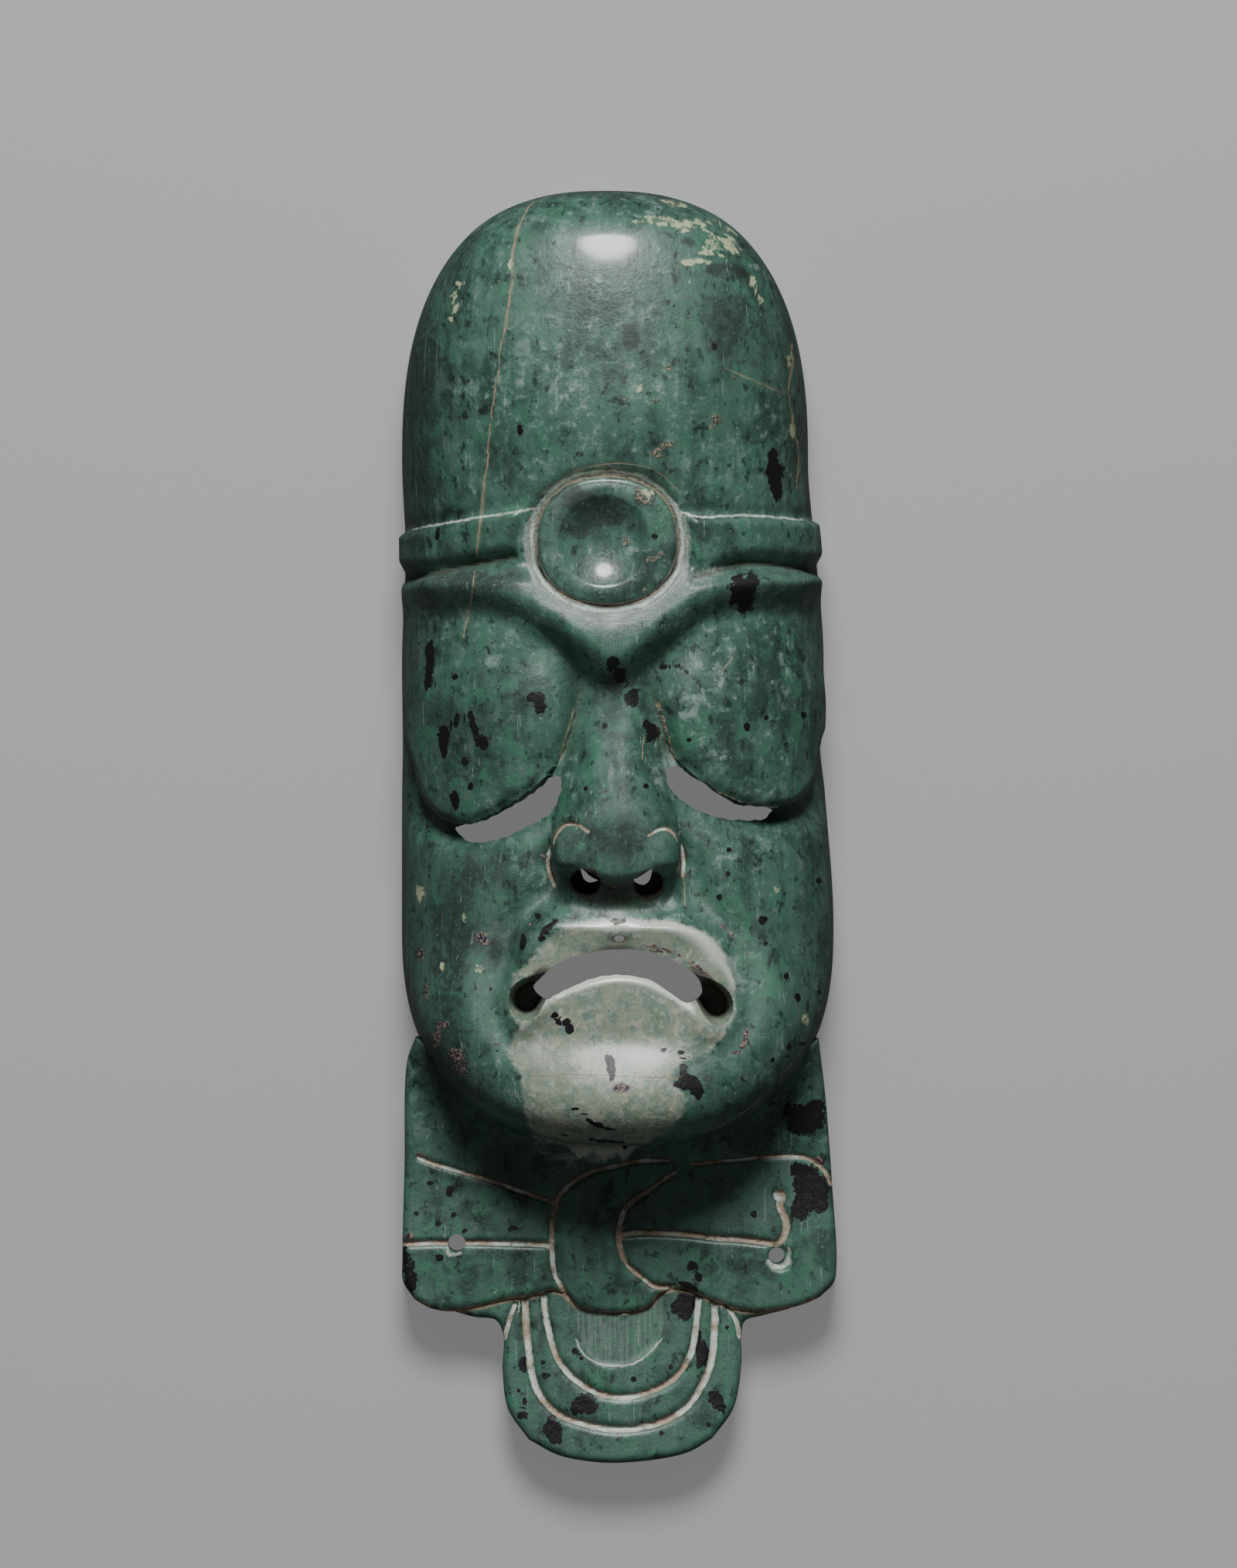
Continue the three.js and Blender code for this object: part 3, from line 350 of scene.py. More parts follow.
# Patches where the surface is rubbed pale, in the same form; those on the brow's arms are a painted sheen,
# and the one down the nose is a painted highlight.
RUBBED_AND_SHEEN = [
    (690, 762, 24, 9), (714, 782, 22, 10), (905, 748, 30, 10), (885, 764, 24, 11), (928, 738, 18, 6),
    (795, 800, 42, 18), (790, 1004, 6, 30),
]
# The pale part of the stone round the mouth and chin, as its outline in pixels of the photograph.
PALE_FACE = [
    (661, 1310), (659, 1284), (668, 1258), (690, 1234), (716, 1208), (741, 1192), (800, 1189), (876, 1191),
    (914, 1206), (938, 1236), (950, 1276), (948, 1310), (938, 1331), (924, 1350), (902, 1366), (884, 1373),
    (868, 1394), (886, 1414), (884, 1438), (860, 1462), (832, 1480), (816, 1492), (807, 1509), (797, 1495),
    (781, 1504), (767, 1489), (749, 1502), (735, 1484), (714, 1478), (686, 1460), (678, 1428), (672, 1390),
    (660, 1368), (664, 1340), (672, 1328),
]
# Cracks and scratches filled with earth: half width in millimetres and the run of points in pixels.
CRACKS = [
    (0.12, [(692, 261), (681, 278), (668, 308), (663, 344), (664, 363), (660, 388), (656, 419), (648, 457),
        (647, 478), (639, 520), (636, 540), (632, 586), (624, 666), (617, 721)]),
    (0.07, [(615, 740), (610, 780), (600, 824)]),
    (0.13, [(1023, 445), (1025, 469), (1019, 504), (1025, 547), (1032, 583), (1030, 633)]),
    (0.07, [(937, 479), (968, 492), (1001, 506), (1016, 513)]),
    (0.09, [(834, 945), (831, 962), (830, 982)]),
    (0.08, [(852, 907), (862, 940), (872, 978)]),
    (0.08, [(742, 916), (736, 940), (728, 966), (723, 990)]),
    (0.08, [(848, 910), (858, 938), (868, 968), (872, 984)]),
    (0.1, [(716, 1003), (697, 1026), (658, 1049), (618, 1064), (590, 1064)]),
    (0.08, [(868, 990), (900, 1011), (935, 1027), (975, 1042), (1000, 1044)]),
    (0.07, [(882, 1113), (884, 1140), (886, 1171)]),
    (0.08, [(932, 873), (942, 856), (952, 844)]),
    (0.06, [(680, 1391), (740, 1388), (800, 1390), (880, 1393)]),
    (0.1, [(870, 1476), (915, 1462), (960, 1438), (985, 1420)]),
    (0.06, [(699, 642), (745, 612), (791, 602), (844, 609), (877, 636)]),
]
# Lines that are rubbed or chalky rather than brown, in the same form; the first two, on the headband's upper
# edge, also stand in for its highlight where it faces the light.
PALE_LINES = [
    (0.2, [(523, 687), (600, 674), (660, 665), (690, 660)]),
    (0.2, [(880, 664), (900, 670), (960, 668), (1047, 673)]),
    (0.3, [(577, 1617), (581, 1622), (588, 1624), (595, 1622)]),
    (0.4, [(1020, 1617), (1022, 1626), (1018, 1634), (1009, 1639), (1000, 1638), (993, 1632)]),
    (0.16, [(745, 1732), (752, 1748), (768, 1762), (790, 1767), (820, 1764), (838, 1752), (856, 1732)]),
]


def ease(t):
    """A soft step: 0 below 0, 1 above 1, and three t squared less two t cubed between."""
    t = np.clip(t, 0.0, 1.0)
    return t * t * (3 - 2 * t)


def hill(t):
    """A bell curve: e to the power of minus t squared."""
    return np.exp(-np.square(t))


def mound(form, x, y):
    """A soft mound: its height times a bell curve across and another up the face."""
    across, up, half_x, half_y, height = form
    return height * hill((x - across) / half_x) * hill((y - up) / half_y)


def through(table, at):
    """A smooth curve through a table: cubic pieces whose slopes come from the neighbours, level at the
    ends."""
    places, values = np.array(table, float).T
    slope = np.zeros(len(places))
    slope[1:-1] = (values[2:] - values[:-2]) / (places[2:] - places[:-2])
    at = np.clip(at, places[0], places[-1])
    i = np.clip(np.searchsorted(places, at, side="left") - 1, 0, len(places) - 2)
    width = places[i + 1] - places[i]
    t = (at - places[i]) / width
    bend = width * t * (1 - t) * ((1 - t) * slope[i] - t * slope[i + 1])
    return values[i] + (values[i + 1] - values[i]) * ease(t) + bend


def smooth_run(corners, closed=False, steps=8):
    """Points on a smooth curve through the corners of an open line or a closed outline: cubic pieces whose
    slopes weigh the corners beside them by the square roots of the distances between them."""
    points = np.array(corners, float)
    if closed:
        points = np.vstack([points[-1], points, points[0], points[1]])
    else:
        points = np.vstack([2 * points[0] - points[1], points, 2 * points[-1] - points[-2]])
    t = (np.arange(steps) / steps)[:, None]
    run = []
    for a, b, c, d in zip(points, points[1:], points[2:], points[3:]):
        first, middle, last = (np.sqrt(np.linalg.norm(q - p)) for p, q in ((a, b), (b, c), (c, d)))
        leave = ((b - a) / first - (c - a) / (first + middle) + (c - b) / middle) * middle
        arrive = ((c - b) / middle - (d - b) / (middle + last) + (d - c) / last) * middle
        run.append(b + leave * t + (3 * (c - b) - 2 * leave - arrive) * t ** 2
                   + (2 * (b - c) + leave + arrive) * t ** 3)
    run = np.vstack(run)
    return run if closed else np.vstack([run, points[-2]])


def nearest(run, x, y, closed=False):
    """Distance to a run of points, and the way from its nearest point to each place."""
    best = np.full(np.shape(x), np.inf)
    off_x = np.zeros(np.shape(x))
    off_y = np.zeros(np.shape(x))
    ends = np.roll(run, -1, axis=0) if closed else run[1:]
    for (ax, ay), (bx, by) in zip(run, ends):
        dx, dy = bx - ax, by - ay
        t = np.clip(((x - ax) * dx + (y - ay) * dy) / max(dx * dx + dy * dy, 1e-12), 0, 1)
        px, py = x - ax - t * dx, y - ay - t * dy
        square = px * px + py * py
        closer = square < best
        best = np.where(closer, square, best)
        off_x = np.where(closer, px, off_x)
        off_y = np.where(closer, py, off_y)
    return np.sqrt(best), off_x, off_y


def depth_inside(run, x, y):
    """How far a place is inside a closed outline, or outside it as a negative number."""
    inside = np.zeros(np.shape(x), bool)
    for (ax, ay), (bx, by) in zip(run, np.roll(run, -1, axis=0)):
        if ay != by:
            inside ^= ((ay > y) != (by > y)) & (x < ax + (bx - ax) * (y - ay) / (by - ay))
    distance = nearest(run, x, y, True)[0]
    return np.where(inside, distance, -distance)


def share_out(form, x, y):
    """Share of the way out to a superellipse, given as its centre, half sizes and exponent: the shares of the
    half sizes to that power, summed, to the root; 1 on its outline."""
    (cx, cy), (half_x, half_y), corner = form
    return (np.abs((x - cx) / half_x) ** corner + np.abs((y - cy) / half_y) ** corner) ** (1 / corner)


OUTLINES = {name: smooth_run(corners, True) for name, corners in (
    ("left plate", LEFT_PLATE), ("right plate", RIGHT_PLATE), ("lip rim", LIP_RIM), ("muzzle", MUZZLE))}
BROW_RUN = smooth_run(BROW_EDGE)
BROW_TIP = int(np.argmin(BROW_RUN[:, 1]))


def band_relief(x, y, rise):
    """The headband: a flat ridge between two lines, with a groove along its foot, fading out at the cove."""
    top, foot = through(BAND_TOP, x), through(BAND_FOOT, x)
    clear = ease((share_out(COVE, x, y) - 0.97) * 10)
    rise = rise * (1 + 0.6 * ease((np.abs(x) - 22) / 6))
    band = rise * ease((y - foot) / 2.4 + 0.2) * ease((top - y) / 1.1 + 0.5)
    groove = 1.1 * hill((y - foot + 0.7) / 0.8) + 0.3 * hill(y - top - 1)
    return (band - groove) * clear


def cove_relief(x, y):
    """The cove round the disc: a bell-shaped trough on the disc's outline, deeper above it than below; the
    stone under the disc is sunk so that the dish stays clear of it."""
    low = ease((40 - y) / 8)
    out = share_out(DISC, x, y)
    trough = -(1.35 - 0.35 * low) * hill((out - 1) / (0.13 + 0.15 * low)) - 0.35 * hill((out - 1.02) / 0.07)
    return np.minimum(trough, -4 * ease((1 - out) / 0.12))


def brow_relief(x, y, rise):
    """The brow: a swell above its edge line, whose two arms blend where they meet in a point."""
    side = np.sign(y - through(BROW_EDGE, x))
    arms = [nearest(arm, x, y)[0] for arm in (BROW_RUN[:BROW_TIP + 1], BROW_RUN[BROW_TIP:])]
    near, far = np.minimum(*arms), np.maximum(*arms)
    above = near * side - 0.9 * np.exp((near - far) / 1.8)
    crest = ease((above + 2.9) / 5.6) * (1 - 0.4 * ease((above - 1.8) / 6.4))
    return rise * crest * (1 - ease((y - 34.5) / 3)) * (1 - 0.7 * ease((np.abs(x) - 24) / 5))


def plate_relief(x, y):
    """The eye plates: each bulges inside its outline, a trough runs round its lower end, and a soft valley
    parts it from the bridge of the nose."""
    left = depth_inside(OUTLINES["left plate"], x, y)
    right = depth_inside(OUTLINES["right plate"], x, y)
    into = np.where(x < 0, left, right)
    across = (x - np.where(x < 0, *PLATE_MIDDLES)) / PLATE_HALF[0]
    bulge = 1 - across ** 2 - ((y - PLATE_LEVEL) / PLATE_HALF[1]) ** 2
    plate = 0.7 * ease(into / 1.5) * ease((25 - y) / 8) + 1.7 * np.clip(bulge, 0, 1)
    trough = -3.2 * hill(into / 2.9) * ease((14 - y) / 6) * ease((np.abs(x) - 8) / 4)
    beside = ease((y - 6) / 5) * ease((29 - y) / 6) * ease((14 - np.abs(x)) / 3)
    valley = mound(BRIDGE_HOLLOW, x, y) - 1.5 * hill((into + 0.6) / 2.6) * beside
    return np.where(into > 0, plate, trough) * ease((31 - np.abs(x)) / 3) + valley


def nose_relief(x, y, rise):
    """The nose: an arch that widens down to its wings, cut back below them, with a crease round each wing."""
    share = np.abs(x - NOSE_LINE) / through(NOSE_HALF, y)
    broad = ease((9 - y) / 12)
    front = rise * through(NOSE_RISE, y) / NOSE_TIP
    front = front * np.clip(1 - share ** (2.2 + 0.3 * broad), 0, 1) ** (1.4 - 0.8 * broad)
    below = NOSE_FOOT + 1.5 * (1 - hill(x / 4.2)) - y
    ridge = front * (1 - 0.35 * ease(below / 0.9)) * (1 - ease(below / 7.5))
    for wing_x, wing_y in WINGS:
        out = np.hypot((x - wing_x) / WING_HALF[0], (y - wing_y) / WING_HALF[1])
        ridge = ridge + 1.0 * ease((1 - out) / 0.45) * ease((np.abs(x) - 3.2) / 3.4) * ease(y + 6.2)
        crease = hill((out - 1.08) / 0.14) * ease((np.abs(x) - 4.2) / 1.5) * ease((y + 6.5) / 3)
        ridge = ridge - 0.6 * crease
    return ridge + mound(UNDER_NOSE, x, y)


def lower_lip(x, y):
    """1 on the lower lip, 0 on the upper one and at the corners; it turns over inside the mouth's opening."""
    middle = -18.4 - 0.037 * (x - 0.5) ** 2
    return ease(middle - y) * ease((11.5 - np.abs(x - 0.6)) / 3.5)


def mouth_relief(x, y):
    """The lips rise to a rim and fall back to the opening; below lie a hollow and the round of the chin."""
    into = depth_inside(OUTLINES["lip rim"], x, y)
    lower = lower_lip(x, y)
    rise = through(LIP_RISE, y) * (1 - 0.6 * lower)
    width = 1.8 + 1.6 * ease((y + 20) / 5) + 3.4 * lower
    fall = (0.55 * rise + 0.5) * (1 - np.exp(-np.maximum(into, 0) / 3.4))
    lips = np.where(into < 0, rise * hill(into / width), rise - fall)
    roll = 0.6 * lower * ease((into + 0.1) / 1.6)
    return lips - roll + mound(CHIN, x, y) + mound(CHIN_HOLLOW, x, y)


def cheek_relief(x, y):
    """The folds from nose to mouth: a bell-shaped valley inside the muzzle's outline and a low ridge on it;
    outside them each cheek swells softly."""
    into = depth_inside(OUTLINES["muzzle"], x, y)
    fade = ease((y + 34) / 10) * ease((2 - y) / 5) * ease((np.abs(x) - 7.5) / 2)
    inset = np.where(x < 0, 2.0, 1.4)
    fold = 0.5 * hill((into - inset + 3.4) / 3) - 1.7 * hill((into - inset) / 2.7)
    return fold * fade + mound(CHEEK, np.abs(x), y)


def crown_relief(x, y):
    """A swell down the middle of the crown, which makes its front rounder from side to side."""
    return 1.2 * hill((x + 1) / 13) * ease((y - 46) / 16) * ease((89 - y) / 6)


def line_relief(lines, x, y):
    """Incised lines: each is a rounded groove, a bell curve across its run with its own half width and
    depth."""
    depth = np.zeros(np.shape(x))
    for half, deep, corners in lines.values():
        distance = nearest(smooth_run(corners), x, y)[0]
        depth = np.maximum(depth, deep * hill(distance / (0.62 * half)))
    return -depth


def face_relief(sizes, x, y):
    """Height of all the carving off the plain head."""
    return (band_relief(x, y, sizes.band_rise / MM) + cove_relief(x, y)
            + brow_relief(x, y, sizes.brow_rise / MM) + plate_relief(x, y)
            + nose_relief(x, y, sizes.nose_rise / MM) + mouth_relief(x, y) + cheek_relief(x, y)
            + crown_relief(x, y) + line_relief(FACE_LINES, x, y))


def plain_head(sizes, across, start, over, inset=0.0, drop=0.0, floor=0.0):
    """The head without its face. In plan it is a superellipse over the crown and the jaw and straight-sided
    between; upwards it is an arch, one less the share of the way out to one power, to the root of another."""
    square_x = across * np.sqrt(1 - over ** 2 / 2)
    square_y = over * np.sqrt(1 - across ** 2 / 2)
    out = np.hypot(square_x, square_y)
    safe = np.maximum(out, 1e-9)
    way_x = np.where(out > 1e-9, square_x / safe, 1.0)
    way_y = square_y / safe
    corner = (np.abs(way_x) ** CORNER + np.abs(way_y) ** CORNER) ** (-1 / CORNER)
    share = np.where(out < TURN_PLACE, out * TURN_SHARE / TURN_PLACE,
                     1 - (1 - TURN_SHARE) * np.clip((1 - out) / (1 - TURN_PLACE), 0, 1) ** 3)
    reach = np.where(over < 0, sizes.jaw_reach, sizes.crown_reach) / MM - inset
    y = start + way_y * corner * share * reach
    x = through(HEAD_CENTRE, y) + way_x * corner * share * (through(HEAD_HALF, y) - inset)
    turned = np.where(over == 0, 0.0, way_y ** 2)
    flat, round_ = (side + (np.where(over < 0, chin, crown) - side) * turned
                    for side, crown, chin in zip(SIDE_FULLNESS, CROWN_FULLNESS, CHIN_FULLNESS))
    arch = np.clip(1 - share ** flat, 0, 1) ** (1 / round_)
    return np.stack([x, y, floor + (through(HEAD_DEPTH, y) - drop - floor) * arch], -1)


def stations(stretches):
    """Even steps along each stretch of [from, to, steps]."""
    return np.concatenate([np.arange(count) / count * (high - low) + low for low, high, count in stretches])


def head_grid(half_columns, jaw, face, crown):
    """The grid of the head: places across, where each row starts and how far it is over the jaw or crown."""
    jaw, face, crown = stations(jaw), stations(face), np.append(stations(crown), 1.0)
    start = np.concatenate([np.full(len(jaw), JAW_START), face, np.full(len(crown), CROWN_START)])
    over = np.concatenate([jaw, np.zeros(len(face)), crown])
    across = np.arange(-half_columns, half_columns + 1) / half_columns
    return across[None, :] + 0 * over[:, None], start[:, None] + 0 * across, over[:, None] + 0 * across


def head_points(sizes):
    """The head with its face: the plain head pushed out along its own normals by the relief."""
    across, start, over = head_grid(*HEAD_GRID)
    step = 0.01
    base = plain_head(sizes, across, start, over)
    inwards = np.where(across > 0, -step, step)
    sideways = (plain_head(sizes, across + inwards, start, over) - base) * np.sign(inwards)[..., None]
    lift = np.where((over > 0.5) | ((over < 0) & (over > -0.02)), -step, step)
    level = over == 0
    other = plain_head(sizes, across, start + np.where(level, lift * 30, 0), over + np.where(level, 0, lift))
    normal = np.cross(sideways, (other - base) * np.sign(lift)[..., None])
    normal /= np.maximum(np.linalg.norm(normal, axis=-1, keepdims=True), 1e-12)
    rise = face_relief(sizes, base[..., 0], base[..., 1]) * ease(base[..., 2] / 14)
    return base + normal * rise[..., None]


def hollow_points(sizes):
    """The hollow behind the face: the plain head again, drawn in by the wall, with its floor below the
    back."""
    across, start, over = head_grid(*HOLLOW_GRID)
    return plain_head(sizes, across, start, over, sizes.wall / MM, sizes.face_wall / MM, -CUT)


def closed_grid(points):
    """Triangles of a body whose front is a grid of points: strips between its borders close the back."""
    rows, columns = points.shape[:2]
    flat = points.reshape(-1, 3)
    at = np.arange(rows * columns).reshape(rows, columns)
    a, b, d, e = at[:-1, :-1], at[:-1, 1:], at[1:, 1:], at[1:, :-1]
    long = np.linalg.norm(flat[a] - flat[d], axis=-1) > np.linalg.norm(flat[b] - flat[e], axis=-1)
    first = np.where(long[..., None], np.stack([a, b, e], -1), np.stack([a, b, d], -1))
    second = np.where(long[..., None], np.stack([b, d, e], -1), np.stack([a, d, e], -1))
    left, right, up_right, up_left = at[:-1, 0], at[:-1, -1], at[1:, -1], at[1:, 0]
    low, high = at[0], at[-1]
    back = [np.stack([left, up_left, up_right], -1), np.stack([left, up_right, right], -1),
            np.stack([low[0] + 0 * low[1:-1], low[2:], low[1:-1]], -1),
            np.stack([high[0] + 0 * high[1:-1], high[1:-1], high[2:]], -1)]
    return flat, np.vstack([first.reshape(-1, 3), second.reshape(-1, 3)] + back)


def rings(centre, outer, last=None):
    """Triangles of a body of like rings, each a closed loop of points, capped by a point at either end."""
    count, sides = outer.shape[:2]
    last = outer[-1].mean(0) if last is None else last
    points = np.vstack([centre[None], outer.reshape(-1, 3), last[None]])
    here = 1 + np.arange(sides)
    after = 1 + (np.arange(sides) + 1) % sides
    faces = [np.stack([0 * here, here, after], -1)]
    for ring in range(1, count):
        inner = (ring - 1) * sides
        faces.append(np.stack([here + inner, here + inner + sides, after + inner + sides], -1))
        faces.append(np.stack([here + inner, after + inner + sides, after + inner], -1))
    end = (count - 1) * sides
    faces.append(np.stack([np.full(sides, len(points) - 1), after + end, here + end], -1))
    return points, np.vstack(faces)


def disc_body():
    """The disc: superellipse rings over its rim and down its side, blended inwards into round rings, whose
    heights follow a ball's surface, so that the dish is a shallow bowl. The rim swells by a sine and falls
    away by two powers of the way over it, so that its edge is worn round."""
    (cx, cy), (half_x, half_y), corner = DISC
    (bowl_x, bowl_y), reach, ball_radius = DISH
    shares = np.concatenate([np.linspace(0.03, 0.66, 18), np.linspace(0.68, 0.9, 9), np.linspace(0.915, 1, 8),
                             [1.0, 0.99, 0.98]])
    angle = np.linspace(0, 2 * np.pi, 132, endpoint=False)
    c, s = np.cos(angle), np.sin(angle)
    out = (np.abs(c) ** corner + np.abs(s) ** corner) ** (-1 / corner)
    shares = shares[:, None]
    over = np.clip((shares - DISH_SHARE) / (1 - DISH_SHARE), 0, 1)
    rim = ease(over)
    bowl = shares * reach / DISH_SHARE
    x = (bowl_x + bowl * c) * (1 - rim) + (cx + shares * out * c * half_x) * rim
    y = (bowl_y + bowl * s) * (1 - rim) + (cy + shares * out * s * half_y) * rim
    lip = ball_radius - np.sqrt(ball_radius ** 2 - reach ** 2)
    dish = ball_radius - np.sqrt(np.maximum(ball_radius ** 2 - bowl ** 2, 1)) - lip
    worn = 0.1 * np.sin(np.pi * np.clip(over * 1.6, 0, 1)) - 0.25 * over ** 4 - over ** 15
    dish = np.where(over > 0, worn, dish)
    sides = np.array([-2.4, -4.0, DISC_ROOT])[:, None]
    rise = np.vstack([dish[:-3], sides + 0 * dish[-3:]])
    z = DISC_TOP + rise + DISC_LEAN * (y - cy)
    middle = np.array([bowl_x, bowl_y, DISC_TOP - lip + DISC_LEAN * (bowl_y - cy)])
    return rings(middle, np.stack([x, y, z], -1))


def edge_steps(length, step):
    """Places along a side: close together at both ends for the rounded edge, then even."""
    ends = np.array([0.0, *EDGE_STEPS[:-1]])
    low, high = EDGE_STEPS[-1], length - EDGE_STEPS[-1]
    middle = np.linspace(low, high, max(2, int(round((length - 2 * low) / step))))
    return np.concatenate([ends, middle, (length - ends)[::-1]]) / length


def resampled(corners, shares):
    """Points at given shares of the length of a smooth run."""
    run = smooth_run(corners, steps=16)
    lengths = np.concatenate([[0], np.cumsum(np.linalg.norm(np.diff(run, axis=0), axis=1))])
    at = shares * lengths[-1]
    return np.stack([np.interp(at, lengths, run[:, 0]), np.interp(at, lengths, run[:, 1])], -1)


def slab_body(edges, height, step, edge_round):
    """A flat-backed slab between four edges: the even blend of foot and head plus that of left and right,
    less that of the four corners. It is lifted to its height, rounded over at its outline by a quarter
    circle, and stands on upright walls."""
    width = np.linalg.norm(np.subtract(edges["head"][-1], edges["head"][0]))
    tall = np.linalg.norm(np.subtract(edges["left"][-1], edges["left"][0]))
    u, v = edge_steps(width, step), edge_steps(tall, step)
    foot, head = resampled(edges["foot"], u)[None], resampled(edges["head"], u)[None]
    left, right = resampled(edges["left"], v)[:, None], resampled(edges["right"], v)[:, None]
    u, v = u[None, :, None], v[:, None, None]
    corners = ((1 - u) * (1 - v) * foot[:, :1] + u * (1 - v) * foot[:, -1:]
               + (1 - u) * v * head[:, :1] + u * v * head[:, -1:])
    plan = (1 - v) * foot + v * head + (1 - u) * left + u * right - corners
    outline = np.vstack([plan[0], plan[1:, -1], plan[-1, -2::-1], plan[-2:0:-1, 0]])
    x, y = plan[..., 0], plan[..., 1]
    into = np.maximum(depth_inside(outline, x, y), 0)
    into[[0, -1]] = 0
    into[:, [0, -1]] = 0
    fall = np.clip(1 - into / edge_round, 0, 1)
    top = np.stack([x, y, height(x, y) - edge_round * (1 - np.sqrt(1 - fall ** 2))], -1)
    walls = np.array([0.0, 0.25, 0.5, 0.75])
    drop = np.concatenate([walls, np.ones(top.shape[0]), walls[::-1]])[:, None]
    across = np.concatenate([walls, np.ones(top.shape[1]), walls[::-1]])[None, :]
    padded = np.pad(top, ((len(walls),) * 2, (len(walls),) * 2, (0, 0)), mode="edge")
    padded[..., 2] *= np.minimum(drop, across)
    return closed_grid(padded)


def collar_height(x, y):
    """The collar's front: its thickness, a fillet up to the jaw, and its incised lines."""
    fillet = 2.4 * np.exp(-np.maximum(share_out(JAW, x, y) - 1, 0) * 30 / 1.5)
    sink_x, sink_y, radius = COUNTERSINK
    sunk = 0.8 * ease((radius - np.hypot(x - sink_x, y - sink_y)) / 1.1)
    knot = 0.35 * ease((8.5 - np.hypot((x + 3.6) / 0.62, (y + 58) / 1.3)) / 2.5)
    return through(COLLAR_DEPTH, y) + fillet + knot + line_relief(COLLAR_LINES, x, y) - sunk


def lobe_height(x, y):
    """The lobe's front: its thickness, its incised arcs, the sunk field under the knot and the nub in it."""
    field = depth_inside(smooth_run(FIELD, True), x, y)
    nub = 0.35 * ease((1 - np.hypot((x - NUB[0]) / 0.9, (y - NUB[1]) / 0.45)) / 0.5)
    return LOBE_DEPTH + line_relief(LOBE_LINES, x, y) - 0.4 * ease(field / 0.7) + nub


def bar(outline, reach, spread=0.0, levels=9):
    """An upright cutter: the outline repeated at even heights, wider towards the top by the spread."""
    low, high = reach
    middle = outline.mean(0)
    shares = np.linspace(0, 1, levels)
    layers = []
    for share in shares[::-1]:
        grown = middle + (outline - middle) * (1 + spread * share)
        layers.append(np.column_stack([grown, np.full(len(outline), low + (high - low) * share)]))
    layers = np.array(layers)
    return rings(layers[0].mean(0), layers)


def oval(x, y, half_x, half_y):
    """Points round an ellipse, anticlockwise."""
    angle = np.linspace(0, 2 * np.pi, OVAL_SIDES, endpoint=False)
    return np.column_stack([x + half_x * np.cos(angle), y + half_y * np.sin(angle)])


def chipped(run, depth):
    """An outline made uneven: each point is shifted by a long and a short sine wave of its own place."""
    other = run[:, ::-1]
    return run + depth * (np.sin(other * 2.9 + run * 1.7) + 0.5 * np.sin(other * 7.3 - run * 3.1))


def ball(x, y, z, half_x, half_y, half_z):
    """An ellipsoid as rings of latitude, from its top down."""
    tilt = np.linspace(0, np.pi, 22)[1:-1, None]
    angle = np.linspace(0, 2 * np.pi, 36, endpoint=False)
    points = np.stack([x + half_x * np.sin(tilt) * np.cos(angle), y + half_y * np.sin(tilt) * np.sin(angle),
                       z + half_z * np.cos(tilt) + 0 * angle], -1)
    return rings(np.array([x, y, z + half_z]), points, np.array([x, y, z - half_z]))


def anticlockwise(run):
    """The same closed outline, turned round if it runs clockwise."""
    x, y = run.T
    area = np.sum(x * np.roll(y, -1) - y * np.roll(x, -1))
    return run if area > 0 else run[::-1]


def mesh_object(name, body):
    """A mesh object in metres, at the origin, from points in millimetres and triangles."""
    points, faces = body
    mesh = bpy.data.meshes.new(name)
    mesh.from_pydata((points * MM).tolist(), [], faces.tolist())
    mesh.update()
    piece = bpy.data.objects.new(name, mesh)
    bpy.context.scene.collection.objects.link(piece)
    return piece


def carved(piece, joined, cut):
    """Join other bodies to a piece and then cut others from it, and leave it as one finished mesh."""
    tools = [(mesh_object("tool", body), "UNION") for body in joined]
    tools += [(mesh_object("tool", body), "DIFFERENCE") for body in cut]
    for tool, operation in tools:
        modifier = piece.modifiers.new(operation, "BOOLEAN")
        modifier.operation = operation
        modifier.solver = "MANIFOLD"
        modifier.object = tool
    shaped = piece.evaluated_get(bpy.context.evaluated_depsgraph_get())
    mesh = bpy.data.meshes.new_from_object(shaped)
    piece.modifiers.clear()
    piece.data = mesh
    mesh.name = piece.name
    for tool, _ in tools:
        bpy.data.objects.remove(tool)


def placed(across, down):
    """Millimetres on the mask for a pixel of the photograph."""
    return (across - PHOTO_MIDDLE[0]) * PIXEL, (PHOTO_MIDDLE[1] - down) * PIXEL


def spot_ways(spots, x, y):
    """The way from the middle of the nearest spot in shares of its half sizes, so that its length is 1 on the
    spot's edge; the third part grows past the spot's reach, so that no false spot lies between two spots."""
    best = np.full(x.shape, 1e9)
    ways = np.zeros((len(x), 3))
    for across, down, wide, tall, *turn in spots:
        cx, cy = placed(across, down)
        angle = np.radians(turn[0] if turn else 0)
        u = ((x - cx) * np.cos(angle) + (y - cy) * np.sin(angle)) / (wide * PIXEL)
        v = ((y - cy) * np.cos(angle) - (x - cx) * np.sin(angle)) / (tall * PIXEL)
        share = np.hypot(u, v)
        beyond = (share - 1) * min(wide, tall) * PIXEL
        closer = beyond < best
        best = np.where(closer, beyond, best)
        past = 4 * np.maximum(beyond - 0.25, 0)
        ways = np.where(closer[:, None], np.stack([u, v, past], -1), ways)
    return ways


